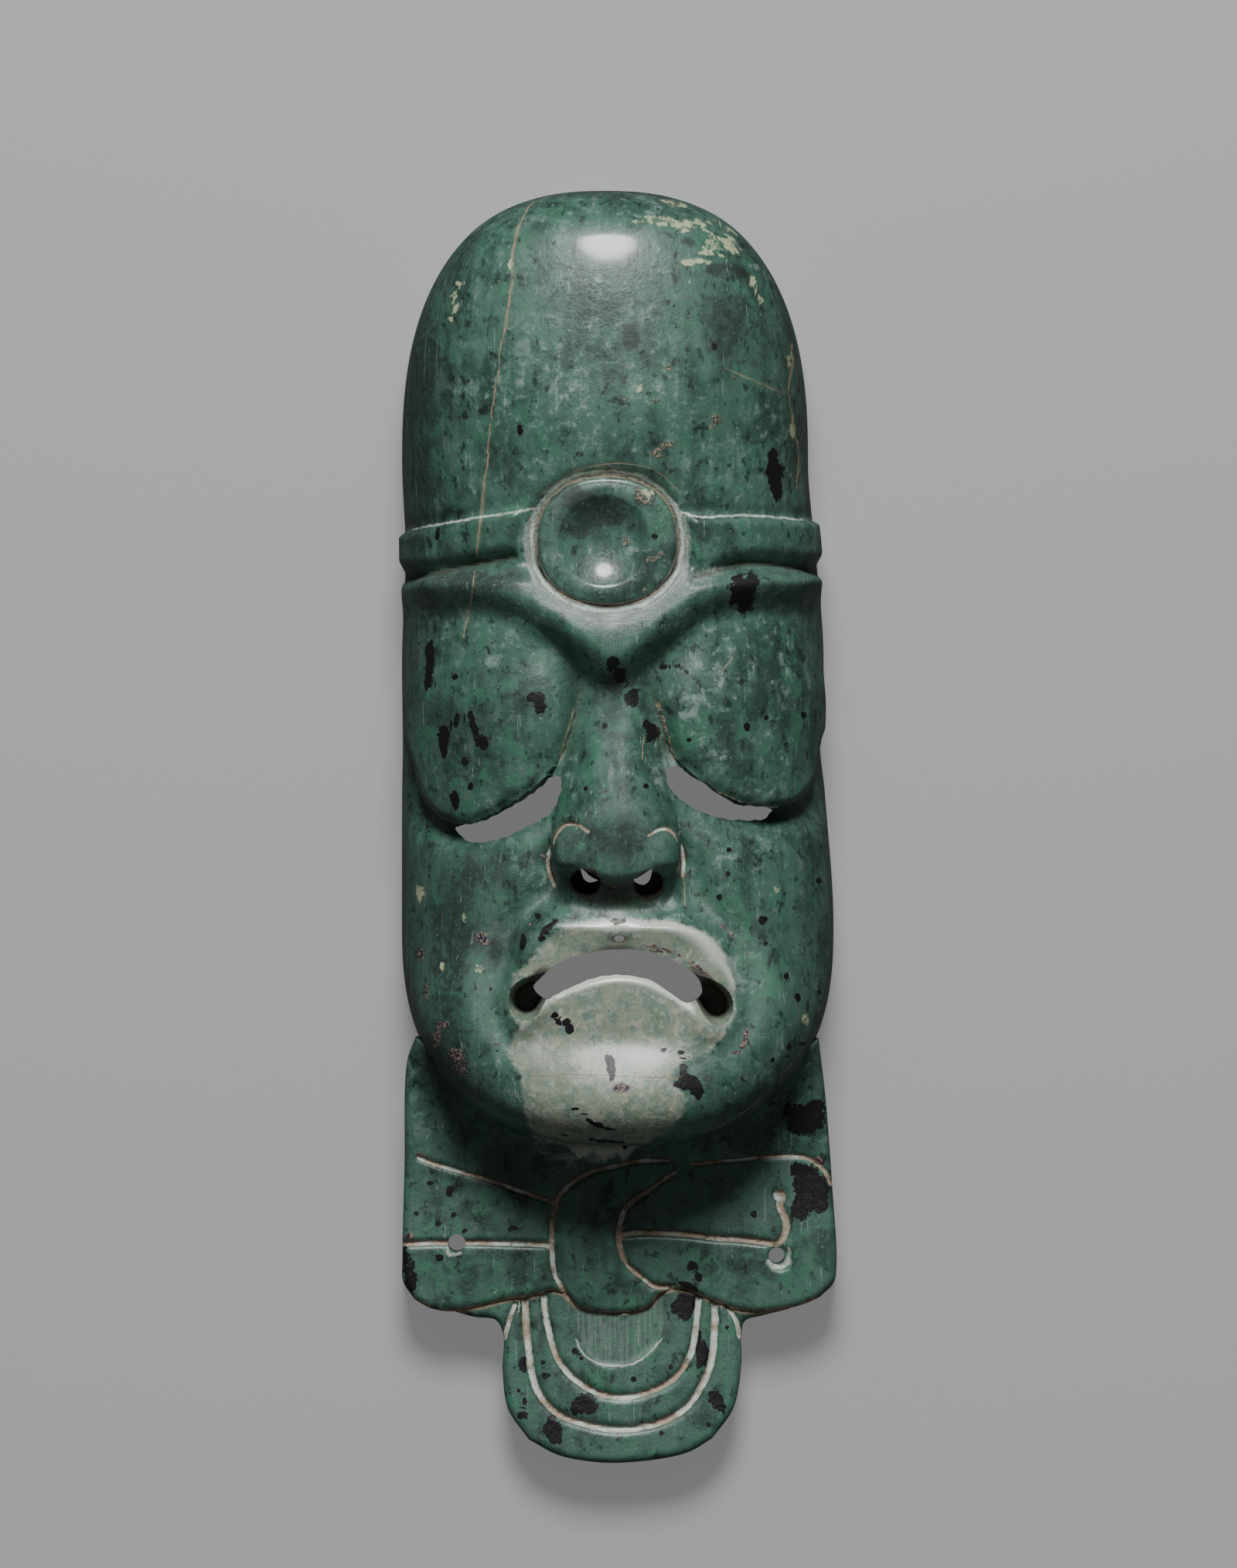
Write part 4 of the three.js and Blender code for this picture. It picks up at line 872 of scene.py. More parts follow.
def line_ways(lines, x, y):
    """The way from the nearest line in shares of its half width, with a third part as for the spots."""
    best = np.full(x.shape, 1e9)
    ways = np.zeros((len(x), 3))
    for half, run in lines:
        distance, off_x, off_y = nearest(run, x, y)
        closer = distance - half < best
        best = np.where(closer, distance - half, best)
        past = 4 * np.maximum(distance - half - 0.25, 0)
        ways = np.where(closer[:, None], np.stack([off_x / half, off_y / half, past], -1), ways)
    return ways


def tone_field(tones, x, y):
    """Soft tones: the sum of a bell curve for each, paler above nought and darker below."""
    total = np.zeros(x.shape)
    for across, down, wide, tall, paler in tones:
        cx, cy = placed(across, down)
        total += paler * np.exp(-(((x - cx) / (wide * PIXEL)) ** 2 + ((y - cy) / (tall * PIXEL)) ** 2))
    return np.clip(total, -1, 1)


def worn_and_sheen_field(x, y):
    """Where the polish is rubbed away: the cove round the disc, the muzzle's folds and the patches; on the
    folds' ridges the paleness is a painted highlight, and on some patches a painted sheen.
    """
    out = share_out(DISC, x, y)
    under = ease((33 - y) / 5)
    reach = 1.17 + 0.1 * ease((47 - y) / 6) + 0.14 * under
    cove = 0.95 * ease((reach - out) / (0.16 + 0.12 * under)) * ease((out - 0.985) * 50)
    cove *= 0.8 + 0.2 * ease((47 - y) / 8)
    muzzle = depth_inside(OUTLINES["muzzle"], x, y)
    fold = 0.3 * hill((muzzle + 0.9) / 1.1) * ease((y + 34) / 6)
    fold *= ease((-1 - y) / 5) * ease((np.abs(x) - 8) / 3)
    patches = tone_field([(*patch, 0.55) for patch in RUBBED_AND_SHEEN], x, y)
    return np.clip(cove + fold + patches, 0, 1)


def lip_highlight_and_shade(x, y):
    """How much paler the lips' rims are, a painted highlight where they catch the light: bell curves along
    the rim, less the darker inner side of the upper lip, which is painted shade where it turns from the
    light."""
    into = depth_inside(OUTLINES["lip rim"], x, y)
    lower = lower_lip(x, y)
    upper = (1 - lower) * ease((x + 11) / 5) * ease((y + 25) / 4)
    rim = hill((into - 0.55) / 0.8) * lower + hill((into + 1) / 1.1) * upper
    inside = 0.55 * ease((into - 0.3) / 0.8) * (1 - lower) * ease((y + 22) / 4) * hill(x / 9)
    return rim - inside


def earth_and_painted_shade(x, y, z):
    """Where dark earth is left: under the nose, round the lip's hole, along the headband's foot and in the
    nostrils;
    painted shade inside the upper lip and round the mouth's corner pits; in the pits, darker further down."""
    left = mound(UNDER_NOSE_EARTH, x, y) + mound(LIP_HOLE_EARTH, x, y)
    left += hill((y - through(BAND_FOOT, x) + 0.75) / 0.4) * ease((share_out(COVE, x, y) - 0.97) * 10)
    into = depth_inside(OUTLINES["lip rim"], x, y)
    beside = np.maximum(-depth_inside(smooth_run(MOUTH, True, 6), x, y), 0)
    # Painted shade on the upper lip's inner side above the opening.
    painted_lip_shade = hill(beside / 1.5) * hill(x / 8) * ease((y + 20) / 3) * ease(into / 1.5)
    left = np.maximum(left, 1.08 * painted_lip_shade)
    for corners in CORNER_PITS:
        inside = depth_inside(smooth_run(corners, True, 5), x, y)
        # Painted shade on the lips round each corner pit; inside the pit, darker further down.
        near = hill(np.maximum(-inside, 0) / 2.2) * ease((into - 0.6) / 1.6)
        left = np.maximum(left, 1.12 * near * (1 - lower_lip(x, y)))
        left = np.maximum(left, 1.2 * ease((inside + 0.2) / 0.5) * ease((PIT_MOUTH + 0.5 - z) / 6))
    for pit_x, pit_y in NOSTRIL_PITS:
        near = np.hypot((x - pit_x) / NOSTRIL_PIT[0], (y - pit_y) / NOSTRIL_PIT[1]) < 1.02
        left = np.where(near & (z > NOSTRIL_DEPTH), 1.3, left)
    return left


def curvature(points, normals, edges, passes):
    """How hollow the surface is at each point: how steeply its neighbours stand above its own plane, averaged
    with the neighbours' values a number of times."""
    a, b = edges.T
    count = len(points)
    along = points[b] - points[a]
    along /= np.maximum(np.linalg.norm(along, axis=1, keepdims=True), 1e-9)
    links = np.maximum(np.bincount(a, minlength=count) + np.bincount(b, minlength=count), 1)
    rise_a = np.sum(normals[a] * along, 1)
    rise_b = -np.sum(normals[b] * along, 1)
    bend = (np.bincount(a, rise_a, count) + np.bincount(b, rise_b, count)) / links
    for _ in range(passes):
        bend = 0.5 * bend + 0.5 * (np.bincount(a, bend[b], count) + np.bincount(b, bend[a], count)) / links
    return bend


def mark_stone(mesh):
    """Put the fields that the stone's finish reads on the mesh, one value or one way for each point."""
    count = len(mesh.vertices)
    points = np.empty(count * 3)
    normals = np.empty(count * 3)
    edges = np.empty(len(mesh.edges) * 2, int)
    mesh.vertices.foreach_get("co", points)
    mesh.vertex_normals.foreach_get("vector", normals)
    mesh.edges.foreach_get("vertices", edges)
    points, normals, edges = points.reshape(-1, 3) / MM, normals.reshape(-1, 3), edges.reshape(-1, 2)
    x, y, z = points.T
    hidden = 1 - ease((normals[:, 2] + 0.05) / 0.3)
    on_lobe = (y < -60) & (z < LOBE_DEPTH + 0.12)

    def on_mask(corners):
        return np.transpose(placed(*np.transpose(corners)))

    def runs(lines):
        return [(half, smooth_run(on_mask(corners), steps=4)) for half, corners in lines]

    def cut(lines, share):
        return [(half * share, smooth_run(corners, steps=4)) for half, _, corners in lines.values()]

    lobe_grooves = line_ways(cut(LOBE_LINES, 0.55), x, y)
    collar_grooves = line_ways(cut(COLLAR_LINES, 0.55) + cut(FACE_LINES, 0.5), x, y)
    foot = smooth_run(COLLAR["foot"], steps=4)
    middle = np.array(DISC[0])
    turn = np.linspace(0, 2 * np.pi, 61)
    round_ = np.column_stack([np.cos(turn), np.sin(turn)])
    ring = middle + np.sign(round_) * np.abs(round_) ** (2 / DISC[2]) * DISC[1]
    around = np.arctan2(x - middle[0], middle[1] - y)
    ways = {
        "black_spots": spot_ways(BLACK_SPOTS, x, y),
        "cream_spots": spot_ways(CREAM_SPOTS, x, y),
        "tan_spots": spot_ways(TAN_SPOTS, x, y),
        "cracks": line_ways(runs(CRACKS), x, y),
        "pale_lines": line_ways(runs(PALE_LINES) + [(0.3, middle + (ring - middle) * 1.07)], x, y),
        "grooves": np.where(on_lobe[:, None], lobe_grooves, collar_grooves),
        # Earth along the collar's foot, and a tan and brown line round the disc whose dark part under the
        # disc is a painted shadow.
        "flap_edge": line_ways([(0.42, foot), (0.22, ring)], x, y),
        "rings": np.stack([0.012 * share_out(DISC, x, y), 0.0012 * around, 0 * x], -1),
    }
    pale = depth_inside(smooth_run(on_mask(PALE_FACE), True, 4), x, y)
    field = depth_inside(smooth_run(FIELD, True, 4), x, y)
    bend = curvature(points, normals, edges, 2)
    broad = curvature(points, normals, edges, 30)
    values = {
        # Tones, with painted highlights, sheen and shade among them, and the lips' painted highlight and
        # shade.
        "tone": np.clip(tone_field(TONES, x, y) + lip_highlight_and_shade(x, y), -1, 1),
        "polished": tone_field([(*place, 1) for place in POLISHED] + [(*place, -1) for place in DULL], x, y),
        # Rubbed paleness, which on the folds' ridges, the brow's arms and down the nose is painted sheen and
        # highlight.
        "worn": worn_and_sheen_field(x, y),
        "pale_face": np.clip(pale, -4, 4),
        "field": np.clip(np.where(on_lobe, field, -1), -1, 1),
        "on_lobe": on_lobe.astype(float),
        "calm": ease((-42 - y) / 8) * (1 - hidden),
        # Concave places by curvature, with the places of earth and of painted shade round the mouth.
        "hollows": np.maximum(np.clip(bend * 2 + broad * 8, -1, 1), earth_and_painted_shade(x, y, z)),
        "hidden": hidden,
    }
    for name, way in ways.items():
        way[:, 2] += 4 * hidden
        mesh.attributes.new(name, "FLOAT_VECTOR", "POINT").data.foreach_set("vector", way.ravel())
    for name, value in values.items():
        mesh.attributes.new(name, "FLOAT", "POINT").data.foreach_set("value", value)


class Wire:
    """A socket of a material's nodes: arithmetic on it adds Math nodes, and node() adds any other."""

    def __init__(self, tree, socket):
        self.tree = tree
        self.socket = socket

    def node(self, kind, settings, inputs, output=0):
        """Add a node: its settings first, then the values or links of its sockets; gives one output."""
        made = self.tree.nodes.new(kind)
        for name, value in settings.items():
            setattr(made, name, value)
        for name, value in inputs.items():
            if isinstance(value, Wire):
                self.tree.links.new(value.socket, made.inputs[name])
            else:
                made.inputs[name].default_value = value
        return Wire(self.tree, made.outputs[output])

    def maths(self, operation, first, second):
        return self.node("ShaderNodeMath", {"operation": operation}, {0: first, 1: second})

    def __add__(self, other):
        return self.maths("ADD", self, other)

    def __radd__(self, other):
        return self.maths("ADD", other, self)

    def __sub__(self, other):
        return self.maths("SUBTRACT", self, other)

    def __rsub__(self, other):
        return self.maths("SUBTRACT", other, self)

    def __mul__(self, other):
        return self.maths("MULTIPLY", self, other)

    def __rmul__(self, other):
        return self.maths("MULTIPLY", other, self)

    def rise(self, low, high):
        """0 below low, 1 above high and a soft step between; with low above high it falls instead."""
        start, end = (low, high) if low < high else (high, low)
        step = self.node("ShaderNodeMapRange", {"interpolation_type": "SMOOTHSTEP"},
                         {"Value": self, "From Min": start, "From Max": end})
        return step if low < high else 1 - step

    def noise(self, scale, detail, roughness, distortion=0.0):
        """Cloudy noise about 0.5 on this place, with so many clouds to the metre."""
        return self.node("ShaderNodeTexNoise", {}, {"Vector": self, "Scale": scale, "Detail": detail,
                                                    "Roughness": roughness, "Distortion": distortion})

    def stretched(self, scale, turn):
        """This place turned about Z and stretched: a small scale draws a pattern out along its axis."""
        return self.node("ShaderNodeMapping", {}, {"Vector": self, "Scale": scale, "Rotation": (0, 0, turn)})

    def length(self):
        return self.node("ShaderNodeVectorMath", {"operation": "LENGTH"}, {0: self}, "Value")

    def painted(self, amount, colour):
        """This colour with another laid over it by an amount from 0 to 1."""
        return self.node("ShaderNodeMix", {"data_type": "RGBA"}, {0: amount, 6: self, 7: colour}, 2)


class Mix:
    """What the finish is mixed from: noise patterns, the mesh's fields and the user's colours."""

    def __init__(self, tree, colours):
        here = Wire(tree, tree.nodes.new("ShaderNodeTexCoord").outputs["Object"])
        self.here = here
        self.colours = colours
        self.clouds = here.noise(75, 4, 0.6)
        self.mottle = here.noise(330, 5, 0.7, 0.6)
        self.specks = here.noise(800, 4, 0.7)
        self.flecks = here.stretched((1.3, 0.8, 1), 0.3).noise(620, 4, 0.65)
        self.streaks = here.stretched((1, 0.14, 1), 0.06).noise(420, 3, 0.6)
        self.grain = here.noise(2600, 2, 0.6)
        hairs = here.stretched((1, 0.035, 1), 0.5).noise(1700, 1, 0.5)
        other_hairs = here.stretched((1, 0.035, 1), -0.9).noise(1700, 1, 0.5)
        self.scratches = hairs.rise(0.7, 0.74) + other_hairs.rise(0.71, 0.75)
        self.edges = here.node("ShaderNodeTexNoise", {},
                               {"Vector": here, "Scale": 520, "Detail": 5, "Roughness": 0.7}, "Color")
        self.ragged = self.mottle - 0.5
        self.fine = self.specks - 0.5
        self.tone = self.field("tone")
        self.hidden = self.field("hidden")

    def field(self, name, output="Fac"):
        """A field of the mesh by its name."""
        return self.here.node("ShaderNodeAttribute", {"attribute_name": name}, {}, output)

    def share(self, name, amount):
        """Share of the way out of the nearest mark of a kind, 1 on its edge, made ragged by an amount."""
        wander = self.edges.node("ShaderNodeVectorMath", {"operation": "MULTIPLY_ADD"},
                                 {0: self.edges, 1: (amount, amount, 0), 2: (-amount / 2, -amount / 2, 0)})
        way = self.field(name, "Vector")
        return way.node("ShaderNodeVectorMath", {"operation": "ADD"}, {0: way, 1: wander}).length()

    def over(self, base, *layers):
        """A colour with others laid over it in turn, each as an amount and a user's colour or a wire."""
        for amount, colour in layers:
            if isinstance(colour, str):
                colour = (*getattr(self.colours, colour), 1)
            base = base.painted(amount, colour)
        return base

    def plain(self, name):
        """A wire that carries one of the user's colours."""
        return self.over(self.here, (1, name))


def green_stone(mix):
    """The green stone: clouds and patches of other greens, dark flecks and stains, pale grains, scratches."""
    lively = (1 - 0.75 * mix.field("calm")) * (0.55 + 0.75 * mix.here.noise(42, 2, 0.5).rise(0.42, 0.58))
    patches = mix.here.stretched((1, 1, 1), 0.7).noise(190, 5, 0.65, 0.8)
    dust = mix.here.noise(2300, 1, 0.5)
    grey = (0.6 * mix.mottle + 0.4 * mix.streaks + 0.5 * mix.fine).rise(0.52, 0.66)
    return mix.over(
        mix.plain("deep_green"),
        ((0.35 * mix.clouds + 0.4 * mix.mottle + 0.25 * mix.streaks).rise(0.4, 0.56), "green"),
        (patches.rise(0.5, 0.64) * (1 - 0.45 * lively), "bright_green"),
        (grey * lively * 0.7, "grey_green"),
        ((mix.specks + 0.6 * mix.ragged).rise(0.58, 0.76) * lively * 0.4, "cloud"),
        ((mix.flecks - 0.5 * mix.ragged).rise(0.58, 0.68) * 0.8, "deep_stain"),
        # The tones darken and pale the stone; some are painted shade in the dish, and painted sheen and
        # highlight on crown, dish and folds.
        ((0 - mix.tone + 2.2 * mix.ragged + 1.4 * mix.fine).rise(0.2, 0.8) * 0.82, "deep_stain"),
        ((mix.tone + 2 * mix.ragged + 1.5 * mix.fine).rise(0.3, 0.95) * 0.65, "cloud"),
        (dust.rise(0.73, 0.8) * 0.6, "cloud"),
        (mix.scratches * mix.mottle.rise(0.42, 0.58) * 0.42, "cloud"))


def pale_stone(mix):
    """The pale stone of the mouth and chin: cream with green clouds and flecks, white grains, tan stains."""
    return mix.over(
        mix.plain("cream"),
        ((0.4 * mix.clouds + 0.6 * mix.mottle).rise(0.48, 0.6) * 0.7, "cream_green"),
        (mix.flecks.rise(0.51, 0.62) * 0.8, "grey_green"),
        ((mix.streaks + mix.ragged).rise(0.54, 0.66) * 0.25, "green"),
        (mix.specks.rise(0.5, 0.66) * 0.45, "white"),
        ((mix.specks - 0.5 * mix.ragged + 0.2 * mix.fine).rise(0.61, 0.7) * 0.5, "tan"),
        # Tones whiten the pale stone, with painted highlights on the lips' rims and the chin, and darken it,
        # with painted shade under the lower lip and inside the upper one.
        ((mix.tone + mix.ragged).rise(0.1, 0.9) * 0.8, "white"),
        ((0 - mix.tone + 1.5 * mix.ragged).rise(0.1, 0.8) * 0.7, "cream_green"))


def line_residue(mix, on_lobe):
    """What fills the incised lines: white on one side, tan and dark brown on the upper one, broken up by
    specks.
    """
    way = mix.field("grooves", "Vector")
    side = way.node("ShaderNodeSeparateXYZ", {}, {0: way}, "Y")
    blend = (mix.here.noise(260, 4, 0.6) - 0.08 * on_lobe).rise(0.38, 0.52)
    return mix.over(
        mix.plain("white"),
        (blend * 0.9, "tan"),
        ((side + 2 * mix.ragged).rise(0.2, 0.65) * 0.85, "dirt_and_shade"),
        (mix.specks.rise(0.55, 0.68) * 0.6, "dirt_and_shade"))


def jade_finish(colours):
    """Mottled green jade: clouds, streaks and flecks in the stone, a pale face and chin, black spots, dark
    brown in concave places, earth in cracks, painted shade round the mouth, white and tan residue in the
    incised lines, rubbed patches, painted highlights, sheen and shade among the tones and patches, and a waxy
    polish."""
    material = bpy.data.materials.new("jade")
    material.use_nodes = True
    tree = material.node_tree
    shader = tree.nodes["Principled BSDF"]
    mix = Mix(tree, colours)
    rubbed = mix.field("worn")
    on_lobe = mix.field("on_lobe")
    polished = mix.field("polished")
    hollows = mix.field("hollows")

    pale = (mix.field("pale_face") + 2.4 * mix.ragged + 1.2 * mix.fine).rise(-0.3, 0.4) * (1 - mix.hidden)
    # The worn paint is rubbed stone; on the brow's arms, down the nose and on the folds' ridges it is painted
    # sheen and highlight.
    worn = (rubbed + 0.6 * mix.ragged + 0.5 * mix.fine).rise(0.22, 0.8)
    scored = mix.field("rings", "Vector").noise(2600, 3, 0.6)
    yellow = mix.share("cream_spots", 4.5).rise(1.15, 0.8) * (mix.specks + mix.ragged).rise(0.36, 0.52)
    cracks = mix.share("cracks", 7)
    # Chalky lines; on the headband's upper edge they are also a painted highlight.
    chalk_and_band_highlight = mix.share("pale_lines", 4).rise(1.2, 0.5) * (0.35 + mix.mottle).rise(0.6, 0.95)
    crust = mix.share("tan_spots", 3.6).rise(1.05, 0.8) * (mix.specks + 0.5 * mix.ragged).rise(0.34, 0.46)
    # The crusts' tan lies on the place itself, which as a colour is all but black.
    earth = mix.over(mix.here, (mix.grain.rise(0.4, 0.65), "tan"),
                     (mix.flecks.rise(0.55, 0.65) * 0.5, "dirt_and_shade"))
    black = mix.share("black_spots", 2.6).rise(1.03, 0.93)
    # Dark brown where the surface is concave, by its curvature, and in full where earth and painted shade are
    # laid round the mouth, nose and headband.
    deep = hollows.rise(0.75, 1.15)
    dirt_and_shade = (hollows + 0.5 * mix.ragged).rise(0.3, 0.95) * (1 - 0.8 * pale) * 0.6 * (1 - deep)
    dirt_and_shade = dirt_and_shade + 0.93 * deep
    filled = (mix.share("grooves", 0.9) + 0.6 * mix.fine).rise(1.12, 0.85)
    residue = line_residue(mix, on_lobe)
    # Earth along the foot and round the disc; under the disc its dark part is a painted shadow.
    flap = mix.share("flap_edge", 1.4).rise(1.2, 0.4)
    earth_line_and_disc_shadow = mix.over(mix.plain("dirt_and_shade"), (mix.specks.rise(0.36, 0.52), "tan"))
    sunk = (mix.field("field") + 0.5 * mix.ragged).rise(0.0, 0.3)
    hatch = mix.here.stretched((1, 0.04, 1), -0.12).noise(2600, 2, 0.5)

    stone = mix.over(
        green_stone(mix),
        (pale, pale_stone(mix)),
        (worn * (1 - 0.35 * pale) * (0.3 + 0.6 * mix.grain + 0.8 * scored).rise(0.6, 1.15), "rubbed"),
        (rubbed.rise(0.5, 0.9) * scored.rise(0.52, 0.7) * 0.5, "white"),
        (yellow, "yellow"),
        ((cracks + 3 * mix.ragged).rise(4.0, 1.2) * mix.clouds.rise(0.47, 0.6) * 0.25, "yellow"),
        ((cracks + 2 * mix.fine).rise(1.25, 0.6) * (0.4 + mix.mottle).rise(0.6, 0.95), "tan"),
        (chalk_and_band_highlight * 0.85, "white"),
        (crust * 0.9, earth),
        (black, "black"),
        (dirt_and_shade, "dirt_and_shade"),
        (filled * (0.35 + 1.2 * mix.mottle + 0.1 * on_lobe).rise(0.5, 0.95), residue),
        (flap * 0.85, earth_line_and_disc_shadow),
        (sunk * (0.06 + 0.26 * hatch.rise(0.44, 0.62)), "rubbed"))

    matt = worn * 0.7 + crust * 0.8 + filled * 0.7 + sunk * 0.5 + mix.hidden * 0.35 + dirt_and_shade * 0.4
    dull = polished.rise(0, -0.8)
    rough = (0.33 + 0.1 * mix.clouds + 0.14 * mix.mottle + 0.3 * matt.rise(0, 1.2)
             + 0.16 * (0 - mix.tone).rise(0.15, 0.6) + 0.3 * dull)
    polish = (1 - matt).rise(0, 1) * (1 - dull) * (0.1 + 0.62 * polished.rise(0.05, 0.7)) * (1 - 0.8 * black)
    height = (0.09 * mix.fine + 0.03 * mix.grain - 0.03 * mix.scratches + 0.12 * crust * mix.grain
              + 0.05 * black * (1 + mix.specks) + 0.12 * worn * mix.grain + 0.1 * filled * mix.fine
              + 0.08 * sunk * hatch - 0.06 * cracks.rise(1.2, 0.6))
    bump = mix.here.node("ShaderNodeBump", {}, {"Height": height, "Distance": MM}, "Normal")
    # The black spots reflect as little as a dark metal, so that they stay dark in the highlights.
    for socket, wire in (("Base Color", stone), ("Roughness", rough), ("Metallic", 0.7 * black),
                         ("Coat Weight", polish), ("Normal", bump)):
        tree.links.new(wire.socket, shader.inputs[socket])
    shader.inputs["Specular IOR Level"].default_value = 0.75
    shader.inputs["Coat Roughness"].default_value = 0.14
    shader.inputs["Coat IOR"].default_value = 1.5
    return material


def length_property(name, description, default):
    """A length that the user can set, in metres."""
    return bpy.props.FloatProperty(name=name, description=description, default=default, unit="LENGTH")


def colour_property(name, description, default):
    """A colour that the user can set."""
    return bpy.props.FloatVectorProperty(name=name, description=description, default=default, size=3,
                                         subtype="COLOR", min=0, max=1)


class MaskSizes(bpy.types.PropertyGroup):
    crown_reach: length_property("Crown", "How far the crown reaches past the straight sides", 0.038)
    jaw_reach: length_property("Jaw", "How far the jaw reaches past the straight sides", 0.0303)
    wall: length_property("Side wall", "Thickness of the head's walls at the back", 0.0065)
    face_wall: length_property("Face wall", "Thickness of stone behind the face", 0.0085)
    band_rise: length_property("Headband", "Height of the headband off the head", 0.0009)
    brow_rise: length_property("Brow", "Height of the brow's swell", 0.003)
    nose_rise: length_property("Nose", "Height of the nose at its tip", 0.0077)
    edge_round: length_property("Edges", "Radius of the edges of collar and lobe", 0.0011)


class StoneColours(bpy.types.PropertyGroup):
    green: colour_property("Green", "The stone itself", (0.068, 0.16, 0.12))
    deep_green: colour_property("Deep green", "Darker clouds in the stone", (0.028, 0.066, 0.052))
    bright_green: colour_property("Bright green", "Brighter patches in the stone", (0.06, 0.2, 0.125))
    grey_green: colour_property("Grey green", "Paler mottling in the stone", (0.15, 0.25, 0.215))
    # Pale clouds are also laid as painted sheen below the crown's highlight and round the dish's, and as
    # painted highlight on the folds' ridges.
    cloud: colour_property("Pale clouds", "The palest clouds and grains", (0.34, 0.45, 0.4))
    # Stains also darken the top of the dish, partly as painted shade.
    deep_stain: colour_property("Stains", "Soft dark stains", (0.012, 0.022, 0.019))
    black: colour_property("Black", "Black spots and flecks", (0.032, 0.031, 0.036))
    cream: colour_property("Pale face", "The pale stone of mouth and chin", (0.3, 0.345, 0.265))
    # Pale green also darkens the pale stone as painted shade under the lower lip and inside the upper one.
    cream_green: colour_property("Pale green", "Green clouds in the pale stone", (0.15, 0.235, 0.175))
    # Rubbed is also laid as painted sheen on the brow's arms and as painted highlight down the nose and on
    # the folds' ridges.
    rubbed: colour_property("Rubbed", "Where the polish is rubbed away", (0.29, 0.345, 0.31))
    yellow: colour_property("Yellow", "Yellowish patches on the crown", (0.5, 0.56, 0.34))
    # White is also laid as painted highlight on the lips' rims, the chin and the headband's upper edge.
    white: colour_property("White", "Residue in the incised lines", (0.72, 0.76, 0.68))
    tan: colour_property("Tan", "Earth in cracks, crusts and lines", (0.42, 0.3, 0.2))
    # This dark brown is laid as earth, and also as painted shade inside the upper lip and round the mouth's
    # corner pits.
    dirt_and_shade: colour_property("Dirt", "Dark earth in the deep hollows", (0.048, 0.036, 0.026))


class StageSettings(bpy.types.PropertyGroup):
    floor_colour: colour_property("Floor", "Colour of the plain floor", (0.3, 0.3, 0.3))
    floor_half: length_property("Floor size", "Half the floor's side", 3.0)
    floor_glow: bpy.props.FloatProperty(
        name="Floor glow", description="The floor's own light, which shows grey in the mask's openings",
        default=0.17)
    light_power: bpy.props.FloatProperty(
        name="Light", description="Power of the large soft light", default=8.8, unit="POWER")
    light_size: length_property("Light size", "Diameter of the soft light", 0.34)
    light_distance: length_property("Light distance", "From the mask to the soft light", 0.9)
    light_rise: bpy.props.FloatProperty(
        name="Light angle", description="How far the soft light leans towards the crown",
        default=0.7, subtype="ANGLE")
    light_aim: length_property("Light aim", "Height that the soft light points at", 0.03)
    world_light: bpy.props.FloatProperty(
        name="Room light", description="Strength of the dim even light of the room", default=0.075)
    camera_distance: length_property("Camera", "Height of the camera above the floor", 4.0)
    camera_focus: length_property("Camera aim", "Height at which a pixel has the photograph's size", 0.012)


class JADE_OT_mask(bpy.types.Operator):
    """Model the carved mask as one finished stone and hide the CAD solid that it stands for"""
    bl_idname = "mesh.jade_mask"
    bl_label = "Mask"

    def execute(self, context):
        sizes = context.scene.mask_sizes
        piece = mesh_object("carved_mask", closed_grid(head_points(sizes)))
        edge = sizes.edge_round / MM
        collar = slab_body(COLLAR, collar_height, SLAB_STEP, edge)
        lobe = slab_body(LOBE, lobe_height, SLAB_STEP, edge)
        openings = [bar(anticlockwise(chipped(smooth_run(corners, True, 6), chips)), THROUGH, levels=30)
                    for corners, chips in ((LEFT_SLIT, 0.09), (RIGHT_SLIT, 0.09), (MOUTH, 0.05))]
        pit_reach = (PIT_FLOOR, THROUGH[1])
        widening = (1 / PIT_TAPER - 1) * (THROUGH[1] - PIT_FLOOR) / (PIT_MOUTH - PIT_FLOOR)
        for corners in CORNER_PITS:
            outline = anticlockwise(smooth_run(corners, True, 5))
            middle = outline.mean(0)
            openings.append(bar(middle + (outline - middle) * PIT_TAPER, pit_reach, widening))
        openings += [bar(anticlockwise(smooth_run(corners, True, 4)), THROUGH) for corners in NOSTRILS]
        openings += [ball(x, y, NOSTRIL_LEVEL, *NOSTRIL_PIT) for x, y in NOSTRIL_PITS]
        openings += [bar(oval(x, y, radius, radius), CORD_CUT) for x, y, radius in CORD_HOLES]
        openings.append(bar(oval(*LIP_HOLE), THROUGH))
        carved(piece, [disc_body(), collar, lobe], [closed_grid(hollow_points(sizes))] + openings)
        mesh = piece.data
        mesh.shade_smooth()
        mesh.set_sharp_from_angle(angle=np.radians(SHARP_ANGLE))
        mark_stone(mesh)
        mesh.materials.clear()
        mesh.materials.append(jade_finish(context.scene.stone_colours))
        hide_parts(NODE)
        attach(piece, "root")
        return {"FINISHED"}


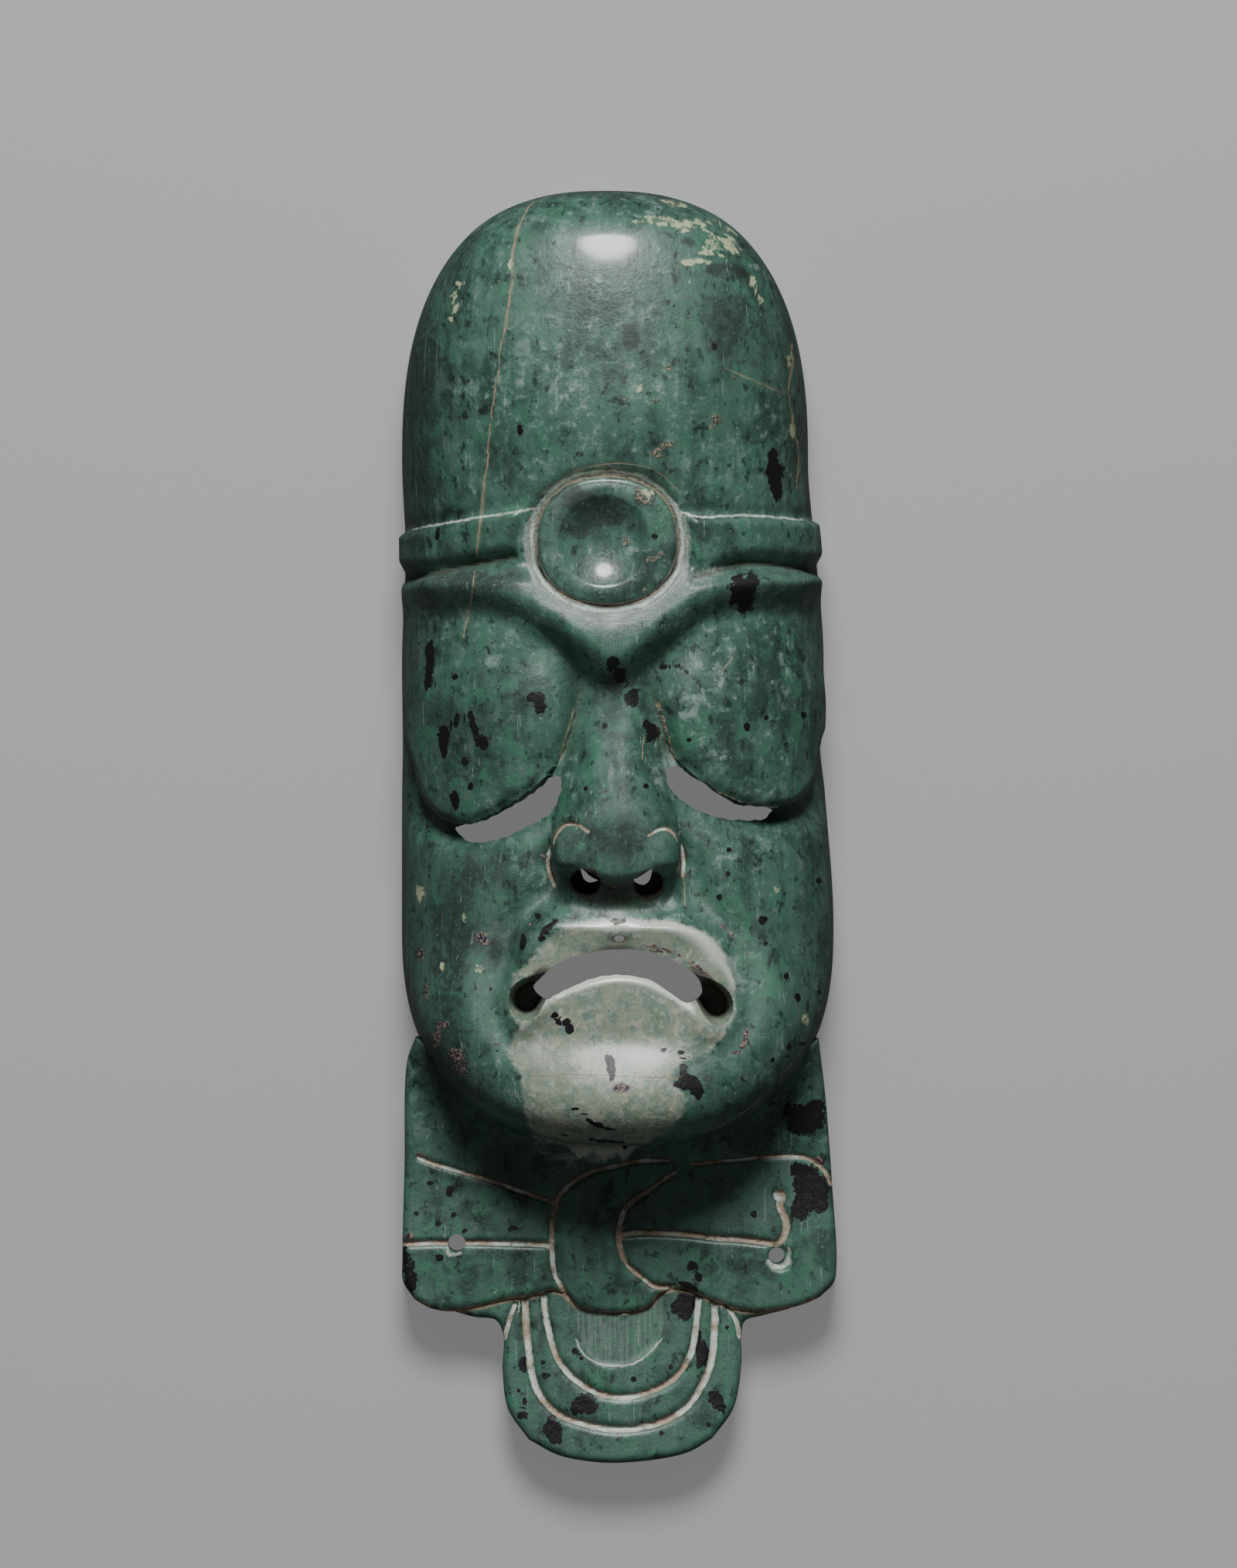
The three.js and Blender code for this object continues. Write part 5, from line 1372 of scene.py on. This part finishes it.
class JADE_OT_stage(bpy.types.Operator):
    """Set the plain floor, the soft light and the camera that looks down on the mask"""
    bl_idname = "scene.jade_stage"
    bl_label = "Stage"

    def execute(self, context):
        settings = context.scene.mask_stage
        scene = context.scene
        half = settings.floor_half
        plane = bpy.data.meshes.new("floor")
        plane.from_pydata([(-half, -half, 0), (half, -half, 0), (half, half, 0), (-half, half, 0)],
                          [], [(0, 1, 2, 3)])
        finish = bpy.data.materials.new("floor")
        finish.use_nodes = True
        shader = finish.node_tree.nodes["Principled BSDF"]
        shader.inputs["Base Color"].default_value = (*settings.floor_colour, 1)
        shader.inputs["Roughness"].default_value = 0.8
        shader.inputs["Emission Color"].default_value = (1, 1, 1, 1)
        shader.inputs["Emission Strength"].default_value = settings.floor_glow
        plane.materials.append(finish)
        floor = bpy.data.objects.new("floor", plane)
        scene.collection.objects.link(floor)
        floor.visible_diffuse = False
        floor.visible_glossy = False

        light = bpy.data.lights.new("soft_light", "AREA")
        light.shape = "DISK"
        light.size = settings.light_size
        light.energy = settings.light_power
        lean, distance = settings.light_rise, settings.light_distance
        place = Vector((0, distance * np.sin(lean), distance * np.cos(lean)))
        turn = (Vector((0, 0, settings.light_aim)) - place).to_track_quat("-Z", "Y")
        lamp = bpy.data.objects.new("soft_light", light)
        lamp.matrix_world = Matrix.Translation(place) @ turn.to_matrix().to_4x4()
        scene.collection.objects.link(lamp)
        world = bpy.data.worlds.new("studio")
        world.use_nodes = True
        background = world.node_tree.nodes["Background"]
        background.inputs["Color"].default_value = (1, 1, 1, 1)
        background.inputs["Strength"].default_value = settings.world_light
        scene.world = world

        camera = bpy.data.cameras.new("camera")
        height = settings.camera_distance
        frame_width, frame_height = PHOTO_SIZE
        camera.sensor_fit = "VERTICAL"
        camera.sensor_height = SENSOR
        camera.lens = SENSOR * (height - settings.camera_focus) / (frame_height * PIXEL * MM)
        camera.clip_end = 5 * height
        holder = bpy.data.objects.new("camera", camera)
        across, up = placed(frame_width / 2, frame_height / 2)
        holder.location = (across * MM, up * MM, height)
        scene.collection.objects.link(holder)
        scene.camera = holder
        return {"FINISHED"}


class JADE_PT_panel(bpy.types.Panel):
    bl_label = "Jade mask"
    bl_idname = "JADE_PT_panel"
    bl_space_type = "VIEW_3D"
    bl_region_type = "UI"
    bl_category = "Jade mask"

    def draw(self, context):
        layout = self.layout
        for group in (context.scene.mask_sizes, context.scene.stone_colours, context.scene.mask_stage):
            for name in group.__annotations__:
                layout.prop(group, name)
        layout.operator("mesh.jade_mask")
        layout.operator("scene.jade_stage")


CLASSES = (MaskSizes, StoneColours, StageSettings, JADE_OT_mask, JADE_OT_stage, JADE_PT_panel)


def register():
    for cls in CLASSES:
        bpy.utils.register_class(cls)
    bpy.types.Scene.mask_sizes = bpy.props.PointerProperty(type=MaskSizes)
    bpy.types.Scene.stone_colours = bpy.props.PointerProperty(type=StoneColours)
    bpy.types.Scene.mask_stage = bpy.props.PointerProperty(type=StageSettings)


def unregister():
    del bpy.types.Scene.mask_sizes
    del bpy.types.Scene.stone_colours
    del bpy.types.Scene.mask_stage
    for cls in reversed(CLASSES):
        bpy.utils.unregister_class(cls)


def main():
    register()
    bpy.ops.mesh.jade_mask()
    bpy.ops.scene.jade_stage()


if __name__ == "__main__":
    main()
